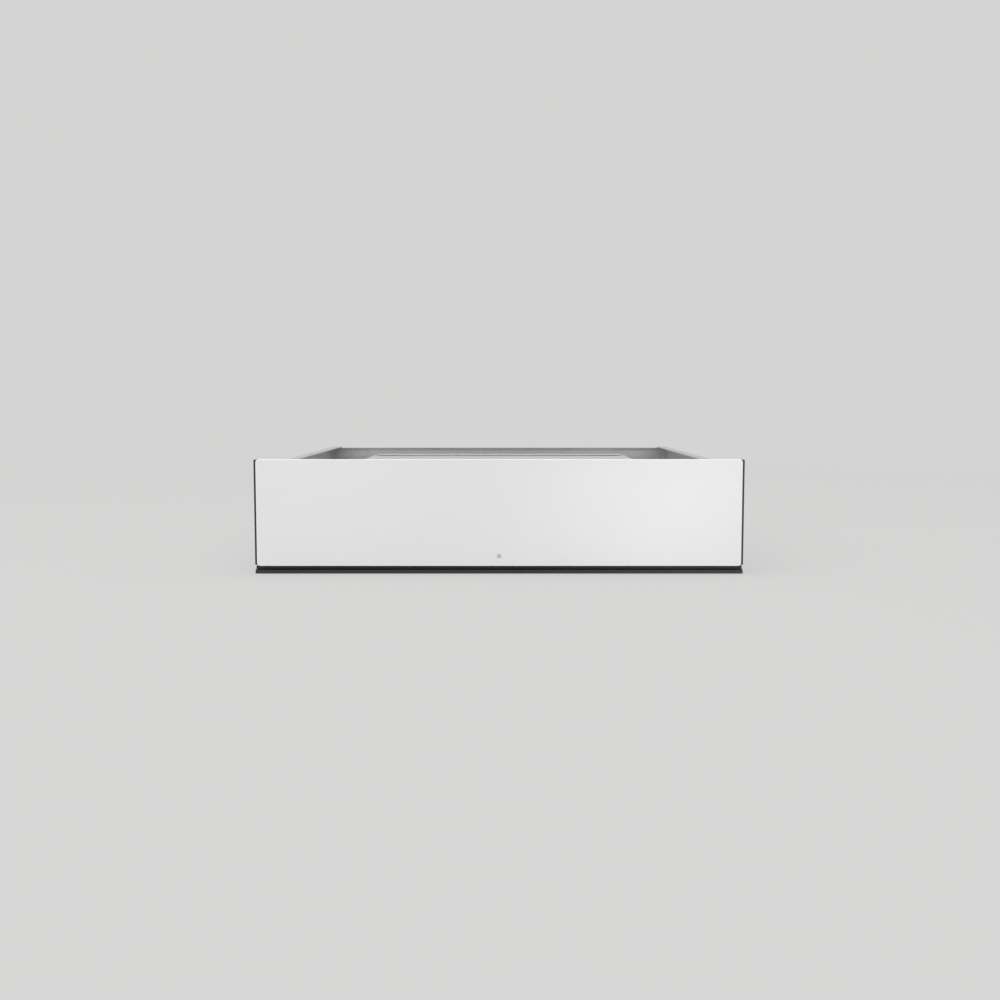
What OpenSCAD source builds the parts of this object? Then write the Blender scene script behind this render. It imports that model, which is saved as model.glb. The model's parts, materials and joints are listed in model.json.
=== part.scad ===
// Built-in vacuum sealing drawer, closed, in millimetres.
// X runs left to right, the front glass faces -Y, and Z = 0 is the niche floor that it stands on.

/* [Front] */
// Width of the glass front
front_w = 589; // [575:1:740]
// Height of the glass front
glass_h = 130; // [128:1:160]
// Thickness of the front glass
glass_t = 4; // [3:0.5:6]
// Corner radius of the front glass
glass_r = 4; // [2:0.5:10]
// Depth of the folded steel box behind the glass
carrier_t = 16; // [12:1:24]
// How far the steel box stands past the glass on each side
carrier_out = 3; // [1:0.5:5]
// How far the steel box stays inside the glass at its top and bottom
carrier_inset = 1; // [0.5:0.5:6]
// Width of the lips folded in at the back of the steel box
carrier_lip = 12; // [9:1:18]

/* [Lower trim] */
// Height of the dark strip below the glass
trim_h = 9; // [7:0.5:12]
// Gap between the dark strip and the glass
trim_gap = 1; // [0.6:0.1:3]
// How far the dark strip stands behind the glass face
trim_setback = 5; // [0:1:9]
// Wall of the dark strip
trim_t = 1.5; // [1:0.1:2.5]

/* [Carcass] */
// Width of the steel carcass
carcass_w = 556; // [548:2:570]
// Sheet thickness of the carcass and drawer
sheet_t = 1.2; // [0.8:0.1:1.4]
// How far the carcass stays below the top of the glass
top_drop = 6; // [2:1:7]
// Width of the flanges on top of the side walls
flange_w = 14; // [10:1:22]
// Height of the flanges around the carcass floor
floor_flange_h = 12; // [8:1:18]
// Gap between the drawer front and the carcass
push_gap = 3.8; // [3.4:0.1:6]

/* [Slides] */
// Height of the slides
slide_h = 45; // [42:1:50]
// Width of the slides, from carcass wall to drawer wall
slide_w = 12.7; // [12.3:0.1:15]
// Thickness of the slide members
slide_t = 1.2; // [1:0.05:1.3]
// Height of the slides' centre line above the niche floor
slide_z = 58; // [52:1:66]
// Travel of the drawer
travel = 440; // [400:5:445]
// Radius of the balls between the outer and middle members
outer_ball_r = 2; // [1.6:0.1:2.1]
// Radius of the balls between the middle and inner members
inner_ball_r = 1.6; // [1.3:0.1:1.7]
// Balls along each raceway
balls_per_race = 6; // [3:1:8]

/* [Drawer] */
// Depth of the bay behind the chamber, for the pump and the fan
bay_l = 127; // [122:1:150]
// Free depth behind the drawer, for the latch and the coiled lead
rear_gap = 49.8; // [46:0.2:60]
// Thickness of the stainless deck
deck_t = 1.2; // [1:0.1:2]
// Gap between the deck and the carcass wall
deck_gap = 2; // [1:0.5:4]

/* [Chamber] */
// Inside width of the vacuum chamber
chamber_w = 350; // [330:5:352]
// Inside length of the vacuum chamber, front to back
chamber_l = 280; // [270:5:284]
// Inside depth of the vacuum chamber
chamber_depth = 92; // [82:1:94]
// Distance from the glass face to the chamber
chamber_setback = 84; // [82:1:90]
// Radius of the chamber's upright corners
chamber_r = 30; // [20:1:40]
// Radius where the chamber's walls meet its floor
chamber_fillet = 9; // [6:1:14]
// Wall of the chamber
chamber_t = 1.2; // [0.8:0.1:2]
// Width of the rim around the chamber
rim_w = 13; // [11:1:16]

/* [Lid] */
// Thickness of the lid glass
lid_t = 10; // [8:0.5:12]
// Corner radius of the lid glass
lid_r = 8; // [4:1:14]
// How far the lid stands past the chamber rim
lid_over = 4; // [2:0.5:6]
// Width of the lid seal
seal_w = 8; // [6:0.5:9]
// Height of the lid seal with the lid shut
seal_h = 4; // [3:0.5:5]
// Radius of the hinge pins
hinge_pin_r = 3; // [2.5:0.1:3.5]
// Distance of each hinge from the middle
hinge_x = 150; // [120:5:170]

/* [Sealing bar] */
// Length of the sealing bar
bar_l = 300; // [280:5:310]
// Width of the sealing bar
bar_w = 14; // [12:0.5:16]
// Height of the sealing bar
bar_h = 20; // [16:1:24]
// Lift of the sealing bar
bar_lift = 8; // [6:0.5:10]
// Distance of each lift rod from the middle
rod_x = 110; // [90:5:120]
// Radius of the lift rods
rod_r = 4; // [3:0.5:5]

/* [Pump and fan] */
// Radius of the pump motor
pump_r = 40; // [36:1:42]
// Length of the pump motor
motor_l = 110; // [90:5:120]
// Length of the pump stage
stage_l = 44; // [36:2:50]
// Side length of the cooling fan
fan_size = 80; // [70:5:84]
// Thickness of the cooling fan
fan_t = 25; // [20:1:28]
// Number of blades on the cooling fan
fan_blades = 7; // [5:1:9]

/* [Supply] */
// Radius of the gland's bore for the supply lead
gland_bore_r = 4.2; // [3.5:0.1:5]
// How far the gland stands out behind the carcass
gland_out = 8; // [6:0.5:12]
// Radius of the coiled lead between carcass and drawer
lead_r = 2.5; // [2:0.1:2.8]
// Turns of the coiled lead
lead_turns = 16; // [10:1:17]

/* [Fixings] */
// Radius of the small screws
screw_r = 1.5; // [1.3:0.1:1.8]
// Radius of the holes that fix the carcass to the niche
niche_hole_r = 2.75; // [2:0.25:4]
// Height between the two niche holes of a side
niche_hole_rise = 84; // [70:1:90]

/* [Hidden] */
$fn = 32;

// Colours of the materials
white_glass = [0.88, 0.88, 0.88];
black_glass = [0.04, 0.04, 0.045];
clear_glass = [0.62, 0.68, 0.68, 0.45];
dark_trim = [0.2, 0.2, 0.195];
galvanised = [0.62, 0.64, 0.65];
stainless = [0.74, 0.74, 0.72];
bright_steel = [0.8, 0.8, 0.8];
cast_alloy = [0.66, 0.67, 0.68];
black_plastic = [0.07, 0.07, 0.075];
grey_plastic = [0.45, 0.46, 0.47];
board_green = [0.05, 0.24, 0.13];
black_rubber = [0.05, 0.05, 0.05];
grey_silicone = [0.55, 0.56, 0.56];
copper = [0.72, 0.42, 0.2];

// Running and fitting clearances
slip = 0.05;
screw_slip = 0.1;
race_gap = 0.1;
soft_gap = 0.3;
push_travel = 3;

// Depth stations, from the face of the front glass to the end of the gland
total_d = chamber_setback + chamber_l + bay_l + rear_gap + sheet_t + gland_out;
face_y = -total_d / 2;
carrier_y = face_y + glass_t;
front_wall_y = carrier_y + carrier_t;
front_back_y = front_wall_y + sheet_t;
carcass_y0 = front_back_y + push_gap;
chamber_y0 = face_y + chamber_setback;
chamber_y1 = chamber_y0 + chamber_l;
chamber_yc = (chamber_y0 + chamber_y1) / 2;
drawer_y1 = chamber_y1 + bay_l;
rear_in_y = drawer_y1 + rear_gap;
carcass_y1 = rear_in_y + sheet_t;
gap_y = (drawer_y1 + rear_in_y) / 2;

// Widths
overall_w = front_w + 2 * carrier_out;
inner_x = carcass_w / 2 - sheet_t;
drawer_x = inner_x - slide_w;
deck_x = inner_x - deck_gap;

// Heights, from the niche floor up to the glass top
drawer_z = trim_h + trim_gap;
tray_z = drawer_z + sheet_t;
front_h = drawer_z + glass_h;
carcass_h = front_h - top_drop;
cross_rail_z = carcass_h - 2 * sheet_t;
cross_rail_l = 30;
trim_step = 6;
tongue_l = 18;
lid_clear = 4;
lid_z = cross_rail_z - lid_clear - lid_t;
rim_z = lid_z - seal_h - soft_gap;
deck_top = rim_z - chamber_t;
deck_z = deck_top - deck_t;
chamber_floor_z = rim_z - chamber_depth;

// Lid places
rim_outer_w = chamber_w + 2 * rim_w;
rim_outer_l = chamber_l + 2 * rim_w;
lid_w = rim_outer_w + 2 * lid_over;
lid_y0 = chamber_y0 - rim_w - lid_over;
lid_y1 = chamber_y1 + rim_w + lid_over;
rail_wrap = 14;
rail_t = 1.5;
grip_w = 140;
grip_out = 5;
knuckle_r = hinge_pin_r + 2.4;
knuckle_l = 22;
grip_wrap = lid_over + (rim_w - seal_w) / 2 - 0.5;
hinge_y = lid_y1 + rail_t + knuckle_r + 1.2;
hinge_z = lid_z + lid_t / 2;
ear_t = 4;
ear_gap = 0.4;

// Slide cross-section, u from the carcass wall and v from the centre line
cage_t = 0.5;
outer_cage_u = slide_t + 0.2;
middle_web_u = outer_cage_u + cage_t + 0.2;
outer_ball_u = middle_web_u + slide_t + race_gap + outer_ball_r;
outer_lip_u = outer_ball_u + outer_ball_r + race_gap;
inner_cage_u = middle_web_u + slide_t + 0.4;
inner_lip_u = inner_cage_u + cage_t + 0.4;
inner_ball_u = inner_lip_u + slide_t + race_gap + inner_ball_r;
middle_lip_u = inner_ball_u + inner_ball_r + race_gap;
outer_ball_v = slide_h / 2 - slide_t - race_gap - outer_ball_r;
middle_flange_v = outer_ball_v - outer_ball_r - race_gap;
inner_ball_v = middle_flange_v - slide_t - race_gap - inner_ball_r;
inner_flange_v = inner_ball_v - inner_ball_r - race_gap;
slide_end = 3;
slide_y0 = carcass_y0 + slide_end;
slide_l = drawer_y1 - slide_end - slide_y0;
middle_l = slide_l - 20;
bumper_l = 8;
bumper_y0 = slide_y0 + slide_l + push_travel + 0.5;
cage_margin = 10;
cage_l = middle_l - travel / 2 - 2 * cage_margin;
cage_y0 = slide_y0 + travel / 4 + cage_margin;
slide_fixing_y = [slide_y0 + 30, slide_y0 + slide_l / 2, slide_y0 + slide_l - 30];

// Control strip on the deck
control_w = 300;
control_l = 34;
control_t = 3;
window_margin = 12;
window_r = 3;
key_r = 5;
key_pitch = 34;
chip_w = 14;
chip_t = 3;
control_y0 = lid_y0 - 6 - control_l;
control_yc = control_y0 + control_l / 2;
board_t = 1.6;
board_drop = 6;
touch_plug_x = 26;
touch_plug_l = 10;
touch_plug_h = 7;

// Sealing bar and counter bar
cylinder_r = 9;
counter_w = 10;
counter_drop = 11.6;
counter_channel = 6;
bar_corner = 4;
band_w = 6;
band_margin = 6;
counter_z = lid_z - counter_drop;
bar_rest_gap = 1;
band_t = 0.5;
bar_top = counter_z - bar_rest_gap - bar_lift - band_t;
bar_z = bar_top - bar_h;
bar_y = chamber_y0 + chamber_fillet + cylinder_r + soft_gap;
cylinder_top = bar_z - 8;
rod_foot_z = cylinder_top - 28;
stub_r = 5;
stub_z = tray_z + 1.4;

// Push latch between the carcass floor and the drawer's back
latch_x = 70;
latch_w = 36;
latch_z = 22;
latch_l = 34;
strike_t = 2;
plunger_r = 5;
magnet_r = 6;
magnet_t = 3;
plunger_l = 24;
latch_y0 = rear_in_y - sheet_t - latch_l;
plunger_y0 = drawer_y1 + strike_t + push_travel + 0.5;

// Supply parts at the back
box_gap = 26.8;
box_w = 60;
box_x0 = box_gap - inner_x;
box_x1 = box_x0 + box_w;
box_h = 40;
box_wall = 2;
box_l = 40;
box_y1 = rear_in_y - sheet_t;
gland_x = (box_x0 + box_x1) / 2;
gland_z = 22;
gland_r = 8;
gland_hex_r = 12;
nut_t = 4;
gland_in_y = box_y1 - box_wall - nut_t;

// Coiled lead, along X between the terminal box and the grommet
lead_coil_r = 11.5;
lead_pitch = 2 * lead_r + 2.2;
lead_z = sheet_t + soft_gap + lead_coil_r + lead_r;
lead_stub = 4;
lead_ramp = 1.5;
lead_bend_r = 14;
lead_x0 = box_x1 + lead_stub;
lead_x1 = lead_x0 + (lead_turns + 2 * lead_ramp) * lead_pitch;
lead_rings = 8;
grommet_x = lead_x1 + lead_bend_r;
grommet_r = lead_r + 3.5;
grommet_t = 2.5;
grommet_step = 1.5;
grommet_z = tray_z + grommet_r + soft_gap;

// Pump, along X in the bay behind the chamber
pump_y = (chamber_y1 + drawer_y1) / 2 + 3;
pump_z = tray_z + pump_r + 6;
motor_x0 = -60;
motor_x1 = motor_x0 + motor_l;
bell_l = 26;
bell_x0 = motor_x0 - bell_l;
stage_x1 = motor_x1 + stage_l;
cover_t = 10;
stage_bore_r = 29;
stage_rotor_r = 25;
stage_offset = stage_bore_r - stage_rotor_r - 0.2;
shaft_r = 5;
armature_r = 24;
impeller_r = pump_r - 6;
spigot_r = 3;
hose_r = 4.5;
line_r = 2.6;
mount_h = 5;
mount_r = 6;
mount_in = 20;
saddle_w = 52;
saddle_t = 2.5;
spigot_l = 12;

// Cooling fan in the drawer's back wall
fan_x = drawer_x - 12 - fan_size / 2;
fan_z = tray_z + 2 + fan_size / 2;
fan_y1 = drawer_y1 - sheet_t;
fan_bore_r = fan_size / 2 - 2.5;
fan_hub_r = fan_size * 0.24;
fan_back_t = 2.5;
fan_pin_r = 2;
fan_pin_l = 14;

// Pressed beads in the carcass floor
bead_w = 16;
bead_rise = 2;
bead_margin = 60;

// Power board and transformer in the left bay
side_bay_w = drawer_x - sheet_t - chamber_w / 2 - chamber_t;
wall_gap = 6;
board_chamber_gap = 14.7;
power_w = side_bay_w - wall_gap - board_chamber_gap;
power_l = 140;
power_x = sheet_t + power_w / 2 + wall_gap - drawer_x;
power_y = chamber_y1 - 2 - power_l / 2;
power_z = tray_z + 9;
board_edge = 12;
part_gap = 6;
relay_w = (power_w - 2 * board_edge - part_gap) / 2;
relay_l = 29;
capacitor_r = 9;
capacitor_h = 26;
capacitor_y = 58;
cooler_w = 24;
cooler_h = 22;
cooler_y = 76;
fin_t = 1.5;
plug_y = 116;
plug_w = power_w - 2 * board_edge - 4;
plug_l = 10;
plug_h = 12;
transformer_w = power_w - part_gap;
transformer_l = 74;
transformer_h = 58;
core_l = 32;
core_window = transformer_w / 4 - 1;
coil_l = 11.6;
foot_t = 2;
transformer_y = chamber_y0 + 66;

// Valve block in the right bay
valve_gap = 17;
valve_w = side_bay_w - valve_gap - 19.7;
valve_x = drawer_x - sheet_t - valve_gap - valve_w / 2;
valve_y = chamber_yc + 30;
valve_z = tray_z + 4;
valve_h = 22;
valve_l = 92;
solenoid_r = 14;
solenoid_h = 30;

// Ports in the chamber's back wall and at the pump
suction_x = 134;
vent_x = 110;
suction_z = 72;
vent_z = suction_z - 26;
cover_margin = 11;
cover_depth = 5;
cover_wall = 1.5;
cover_slot_w = 2.4;
slot_pitch = 7;
stage_port_z = pump_z + 13;
spigot_end_y = chamber_y1 + chamber_t + spigot_l;
stage_port_x = stage_x1 + cover_t + spigot_l;

// Screw heads and the rows of slots
head_r = 2.7;
head_t = 1.6;
slot_w = 3;

// Outline and solid helpers
module rounded_outline(w, d, r) {
    square([w, d - 2 * r], center = true);
    square([w - 2 * r, d], center = true);
    for (x = [-1, 1], y = [-1, 1])
        translate([x * (w / 2 - r), y * (d / 2 - r)])
            circle(r = r);
}

// A box from its lowest to its highest value on each axis
module block(x, y, z) {
    translate([x[0], y[0], z[0]])
        cube([x[1] - x[0], y[1] - y[0], z[1] - z[0]]);
}

// A plate with rounded corners, flat on Z, centred on X and Y
module rounded_plate(w, d, h, r) {
    linear_extrude(h)
        rounded_outline(w, d, r);
}

// Extrudes an outline drawn in X and Z along Y, from y0
module along_y(y0, l) {
    translate([0, y0 + l, 0])
        rotate([90, 0, 0])
            linear_extrude(l)
                children();
}

// Extrudes an outline drawn in Y and Z along X, centred
module along_x(l) {
    rotate([90, 0, 90])
        translate([0, 0, -l / 2])
            linear_extrude(l)
                children();
}

// A round bar along X, Y or Z, from its start point
module round_x(p, r, l) {
    translate(p)
        rotate([0, 90, 0])
            cylinder(r = r, h = l);
}

module round_y(p, r, l) {
    translate(p)
        rotate([-90, 0, 0])
            cylinder(r = r, h = l);
}

module round_z(p, r, l) {
    translate(p)
        cylinder(r = r, h = l);
}

module both_sides() {
    children();
    mirror([1, 0, 0])
        children();
}

// A rounded slot along X, cut through a sheet that lies flat
module slot_x(l, w, depth) {
    translate([0, 0, -depth / 2]) {
        translate([-(l - w) / 2, -w / 2, 0])
            cube([l - w, w, depth]);
        for (end = [-1, 1])
            round_z([end * (l - w) / 2, 0, 0], w / 2, depth);
    }
}

// A pan head screw with a cross recess: the head stands on Z = 0 and the shank goes down
module screw(l) {
    difference() {
        union() {
            cylinder(r = head_r, h = head_t);
            round_z([0, 0, -l], screw_r, l);
        }
        for (turn = [0, 90])
            rotate([0, 0, turn])
                translate([-1.5, -0.3, head_t - 0.8])
                    cube([3, 0.6, 1]);
    }
}

module screw_hole(l) {
    round_z([0, 0, -l - 1], screw_r + screw_slip, l + 2);
}

// Unit vectors along a path, and directions across it carried on without twist
function unit(v) = v / norm(v);

function path_tangents(p) =
    [for (i = [0 : len(p) - 1]) unit(p[min(i + 1, len(p) - 1)] - p[max(i - 1, 0)])];

function across(v, t) = unit(v - (v * t) * t);

function path_normals(t, up) =
    [for (i = 0, n = across(up, t[0]); i < len(t); i = i + 1, n = i < len(t) ? across(n, t[i]) : n) n];

// A curve through the points, in steps per span, with its first and last spans straight
function spline_point(a, b, c, d, s) =
    0.5 * (2 * b + (c - a) * s + (2 * a - 5 * b + 4 * c - d) * s * s + (3 * b - a - 3 * c + d) * s * s * s);

function smooth_path(p, steps) = concat(
    [p[0]],
    [for (i = [1 : len(p) - 3], k = [0 : steps - 1])
        spline_point(p[i - 1], p[i], p[i + 1], p[i + 2], k / steps)],
    [p[len(p) - 2], p[len(p) - 1]]
);

// A tube of flat sides along a path
module tube(path, r, sides, up) {
    t = path_tangents(path);
    n = path_normals(t, up);
    rings = len(path);
    points = [for (i = [0 : rings - 1], k = [0 : sides - 1])
        let (a = 360 * k / sides)
        path[i] + r * (cos(a) * n[i] + sin(a) * cross(t[i], n[i]))];
    ends = [
        [for (k = [0 : sides - 1]) k],
        [for (k = [sides - 1 : -1 : 0]) (rings - 1) * sides + k]
    ];
    walls = [for (i = [0 : rings - 2], k = [0 : sides - 1], half = [0, 1])
        let (
            a = i * sides + k,
            b = i * sides + (k + 1) % sides,
            c = b + sides,
            d = a + sides
        )
        half == 0 ? [a, d, c] : [a, c, b]];
    polyhedron(points, concat(walls, ends));
}

// How far along the path each point lies
function path_lengths(p) =
    [for (i = 0, s = 0; i < len(p); i = i + 1, s = i < len(p) ? s + norm(p[i] - p[i - 1]) : s) s];

// Least gap of a tube to itself, between points that lie over three diameters apart along it
function least_gap(path, r) =
    let (s = path_lengths(path))
    min([for (i = [0 : len(path) - 1], j = [i + 1 : 1 : len(path) - 1])
        if (s[j] - s[i] > 6 * r) norm(path[i] - path[j])]) - 2 * r;

// Places of the screws, each with its head outwards on +Z of the placed frame
module at_outer_slide_fixings() {
    for (side = [-1, 1], y = slide_fixing_y)
        translate([side * carcass_w / 2, y, slide_z])
            rotate([0, side * 90, 0])
                children();
}

module at_inner_slide_fixings() {
    for (side = [-1, 1], y = slide_fixing_y)
        translate([side * (drawer_x - sheet_t), y, slide_z])
            rotate([0, -side * 90, 0])
                children();
}

module at_cross_rail_fixings() {
    for (side = [-1, 1], y = [cross_rail_l / 2 - 7, cross_rail_l / 2 + 7])
        translate([side * (carcass_w / 2 - flange_w / 2), carcass_y0 + y, carcass_h])
            children();
}

module at_rear_wall_fixings() {
    for (side = [-1, 1], z = [0.25, 0.75])
        translate([side * carcass_w / 2, carcass_y1 - 7, carcass_h * z])
            rotate([0, side * 90, 0])
                children();
}

module at_trim_fixings() {
    for (x = [-0.8, -0.3, 0.3, 0.8])
        translate([x * inner_x, carcass_y0 + tongue_l - 6, sheet_t + trim_t])
            children();
}

module at_carrier_fixings() {
    for (x = [-0.75, -0.25, 0.25, 0.75])
        translate([x * drawer_x, front_back_y, drawer_z + carrier_inset + carrier_lip / 2 + 0.5])
            rotate([-90, 0, 0])
                children();
}

module at_deck_fixings() {
    for (side = [-1, 1], y = [0.06, 0.5, 0.94])
        translate([side * (drawer_x + 3.4), front_wall_y + y * (drawer_y1 - front_wall_y), deck_top])
            children();
}

module at_hinge_fixings() {
    for (side = [-1, 1], x = [-1, 1])
        translate([side * hinge_x + x * (knuckle_l / 2 + ear_t + 6), hinge_y, deck_top + 2])
            children();
}

// Carcass of folded galvanised sheet
module floor_beads(w, z0, z1) {
    end = bead_margin + bead_w - w;
    for (x = [-0.55, 0, 0.55])
        block([x * inner_x - w / 2, x * inner_x + w / 2], [carcass_y0 + end, rear_in_y - end], [z0, z1]);
}

module carcass_floor() {
    color(galvanised)
        difference() {
            union() {
                block([-inner_x, inner_x], [carcass_y0, rear_in_y], [0, sheet_t]);
                both_sides()
                    block(
                        [inner_x - sheet_t, inner_x],
                        [carcass_y0 + tongue_l + 2, rear_in_y - flange_w],
                        [0, floor_flange_h]
                    );
                block(
                    [-inner_x + flange_w, inner_x - flange_w],
                    [rear_in_y - sheet_t, rear_in_y],
                    [0, floor_flange_h]
                );
                floor_beads(bead_w, sheet_t / 2, sheet_t + bead_rise);
            }
            floor_beads(bead_w - 2 * sheet_t, -1, bead_rise);
            at_trim_fixings()
                screw_hole(sheet_t + trim_t);
        }
}

module niche_holes() {
    for (side = [-1, 1], z = [-1, 1])
        translate([side * carcass_w / 2, carcass_y0 + 14, carcass_h / 2 + z * niche_hole_rise / 2])
            round_x([-5 * sheet_t, 0, 0], niche_hole_r, 10 * sheet_t);
}

module side_vents() {
    for (i = [0 : 7])
        translate([0, rear_in_y - 60 - i * 14, floor_flange_h + 12])
            rotate([90, 0, 90])
                rotate([0, 0, 90])
                    slot_x(16, slot_w, 2 * carcass_w);
}

module side_wall() {
    difference() {
        union() {
            block([inner_x, carcass_w / 2], [carcass_y0, carcass_y1], [0, carcass_h]);
            block(
                [carcass_w / 2 - flange_w, carcass_w / 2],
                [carcass_y0, carcass_y1],
                [carcass_h - sheet_t, carcass_h]
            );
        }
        niche_holes();
        side_vents();
        at_outer_slide_fixings()
            screw_hole(sheet_t);
        at_cross_rail_fixings()
            screw_hole(sheet_t);
        at_rear_wall_fixings()
            screw_hole(sheet_t);
    }
}

module carcass_right_wall() {
    color(galvanised)
        side_wall();
}

module carcass_left_wall() {
    color(galvanised)
        mirror([1, 0, 0])
            side_wall();
}

// Rows of slots in front of the cooling fan, cut along Y
module fan_slots(depth) {
    rows = floor((fan_size - 14) / 8);
    for (i = [0 : rows - 1])
        translate([fan_x, drawer_y1, fan_z + (i - (rows - 1) / 2) * 8])
            rotate([90, 0, 0])
                slot_x(fan_size - 16, 4, depth);
}

module carcass_rear_wall() {
    color(galvanised)
        difference() {
            union() {
                block([-inner_x, inner_x], [rear_in_y, carcass_y1], [0, carcass_h - sheet_t]);
                both_sides()
                    block(
                        [inner_x - sheet_t, inner_x],
                        [carcass_y1 - 13, carcass_y1],
                        [floor_flange_h + 1, carcass_h - sheet_t]
                    );
                block(
                    [-inner_x + flange_w, inner_x - flange_w],
                    [carcass_y1 - flange_w, carcass_y1],
                    [carcass_h - 2 * sheet_t, carcass_h - sheet_t]
                );
            }
            translate([0, carcass_y1 - drawer_y1, 0])
                fan_slots(6 * sheet_t);
            at_rear_wall_fixings()
                screw_hole(2 * sheet_t);
            round_y([gland_x, rear_in_y - 1, gland_z], gland_r + screw_slip, sheet_t + 2);
        }
}

module front_cross_rail() {
    color(galvanised)
        difference() {
            union() {
                block(
                    [-inner_x, inner_x],
                    [carcass_y0, carcass_y0 + cross_rail_l],
                    [cross_rail_z, cross_rail_z + sheet_t]
                );
                block(
                    [flange_w + 1 - inner_x, inner_x - flange_w - 1],
                    [carcass_y0, carcass_y0 + sheet_t],
                    [cross_rail_z, carcass_h]
                );
            }
            at_cross_rail_fixings()
                screw_hole(2 * sheet_t);
        }
}

// Dark strip below the glass, with a stepped front and a tongue on the carcass floor
module lower_trim() {
    front = face_y + trim_setback;
    step = front + trim_step;
    tongue = sheet_t + trim_t;
    color(dark_trim)
        difference() {
            along_x(overall_w)
                polygon([
                    [front, 0],
                    [front, trim_h / 2],
                    [step, trim_h / 2 + trim_t / 2],
                    [step, trim_h],
                    [step + trim_t, trim_h],
                    [step + trim_t, tongue],
                    [carcass_y0 + tongue_l, tongue],
                    [carcass_y0 + tongue_l, sheet_t],
                    [carcass_y0, sheet_t],
                    [carcass_y0, 0]
                ]);
            both_sides()
                block([inner_x, overall_w], [carcass_y0, carcass_y0 + tongue_l + 1], [-1, trim_h]);
            at_trim_fixings()
                screw_hole(sheet_t + trim_t);
        }
}

// Cross-sections of the slide members, u on X and v on Y
module outer_member_outline() {
    translate([0, -slide_h / 2])
        square([slide_t, slide_h]);
    for (half = [-1, 1])
        scale([1, half]) {
            translate([0, slide_h / 2 - slide_t])
                square([outer_lip_u + slide_t, slide_t]);
            translate([outer_lip_u, outer_ball_v + 0.6])
                square([slide_t, slide_h / 2 - slide_t / 2 - outer_ball_v - 0.6]);
        }
}

module middle_member_outline() {
    translate([middle_web_u, 0.7 - outer_ball_v])
        square([slide_t, 2 * outer_ball_v - 1.4]);
    for (half = [-1, 1])
        scale([1, half]) {
            translate([middle_web_u, middle_flange_v - slide_t])
                square([middle_lip_u + slide_t - middle_web_u, slide_t]);
            translate([middle_lip_u, inner_ball_v + 0.2])
                square([slide_t, middle_flange_v - slide_t / 2 - inner_ball_v - 0.2]);
        }
}

module inner_member_outline() {
    translate([slide_w - slide_t, -inner_flange_v])
        square([slide_t, 2 * inner_flange_v]);
    for (half = [-1, 1])
        scale([1, half]) {
            translate([inner_lip_u, inner_flange_v - slide_t])
                square([slide_w - inner_lip_u, slide_t]);
            translate([inner_lip_u, inner_flange_v - slide_t / 2])
                square([slide_t, slide_t / 2 + 1]);
        }
}

// Puts a right-hand slide outline against the carcass wall, or the mirror of it on the left
module slide_place(side) {
    mirror([side < 0 ? 1 : 0, 0, 0])
        translate([inner_x, 0, slide_z])
            mirror([1, 0, 0])
                children();
}

module outer_slides() {
    color(galvanised)
        difference() {
            for (side = [-1, 1])
                slide_place(side)
                    along_y(slide_y0, bumper_y0 + bumper_l - slide_y0)
                        outer_member_outline();
            at_outer_slide_fixings()
                screw_hole(sheet_t + slide_t);
        }
}

module slide_bumpers() {
    color(black_rubber)
        for (side = [-1, 1])
            slide_place(side)
                block(
                    [slide_t, slide_w - 1.5],
                    [bumper_y0, bumper_y0 + bumper_l],
                    [0.6 - outer_ball_v, outer_ball_v - 0.6]
                );
}

module middle_slide(side) {
    color(galvanised)
        slide_place(side)
            along_y(slide_y0, middle_l)
                middle_member_outline();
}

module left_middle_slide() {
    middle_slide(-1);
}

module right_middle_slide() {
    middle_slide(1);
}

module inner_slides() {
    color(galvanised)
        difference() {
            for (side = [-1, 1])
                slide_place(side)
                    along_y(slide_y0, slide_l)
                        inner_member_outline();
            at_inner_slide_fixings()
                screw_hole(sheet_t + slide_t);
        }
}

// A strip of balls for both raceways: web_u and reach are the cage's, ball_u and ball_v the balls'
module ball_cage(side, web_u, reach, ball_u, ball_v, ball_r) {
    pocket_r = ball_r + 0.15;
    pitch = cage_l / balls_per_race;
    color(bright_steel)
        slide_place(side) {
            difference() {
                union() {
                    block(
                        [web_u, web_u + cage_t],
                        [cage_y0, cage_y0 + cage_l],
                        [-ball_v - 0.4, ball_v + 0.4]
                    );
                    for (half = [-1, 1])
                        block(
                            [web_u, reach],
                            [cage_y0, cage_y0 + cage_l],
                            [half * ball_v - 0.4, half * ball_v + 0.4]
                        );
                }
                for (i = [0 : balls_per_race - 1])
                    translate([ball_u, cage_y0 + (i + 0.5) * pitch, 0])
                        cylinder(r = pocket_r, h = slide_h, center = true);
            }
            for (i = [0 : balls_per_race - 1], half = [-1, 1])
                translate([ball_u, cage_y0 + (i + 0.5) * pitch, half * ball_v])
                    sphere(r = ball_r);
        }
}

module outer_ball_cage(side) {
    ball_cage(side, outer_cage_u, outer_lip_u - 0.3, outer_ball_u, outer_ball_v, outer_ball_r);
}

module inner_ball_cage(side) {
    ball_cage(side, inner_cage_u, middle_lip_u - 0.3, inner_ball_u, inner_ball_v, inner_ball_r);
}

module left_outer_ball_cage() {
    outer_ball_cage(-1);
}

module right_outer_ball_cage() {
    outer_ball_cage(1);
}

module left_inner_ball_cage() {
    inner_ball_cage(-1);
}

module right_inner_ball_cage() {
    inner_ball_cage(1);
}

// Push latch: body on the carcass floor, plunger with a magnet at its tip
module latch_body() {
    color(grey_plastic)
        difference() {
            union() {
                block(
                    [latch_x - latch_w / 2, latch_x + latch_w / 2],
                    [latch_y0, latch_y0 + latch_l],
                    [sheet_t, sheet_t + 5]
                );
                block(
                    [latch_x - 10, latch_x + 10],
                    [latch_y0, latch_y0 + latch_l],
                    [sheet_t, latch_z + 10]
                );
            }
            round_y([latch_x, latch_y0 - 1, latch_z], plunger_r + slip, plunger_l + 3);
        }
}

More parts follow.
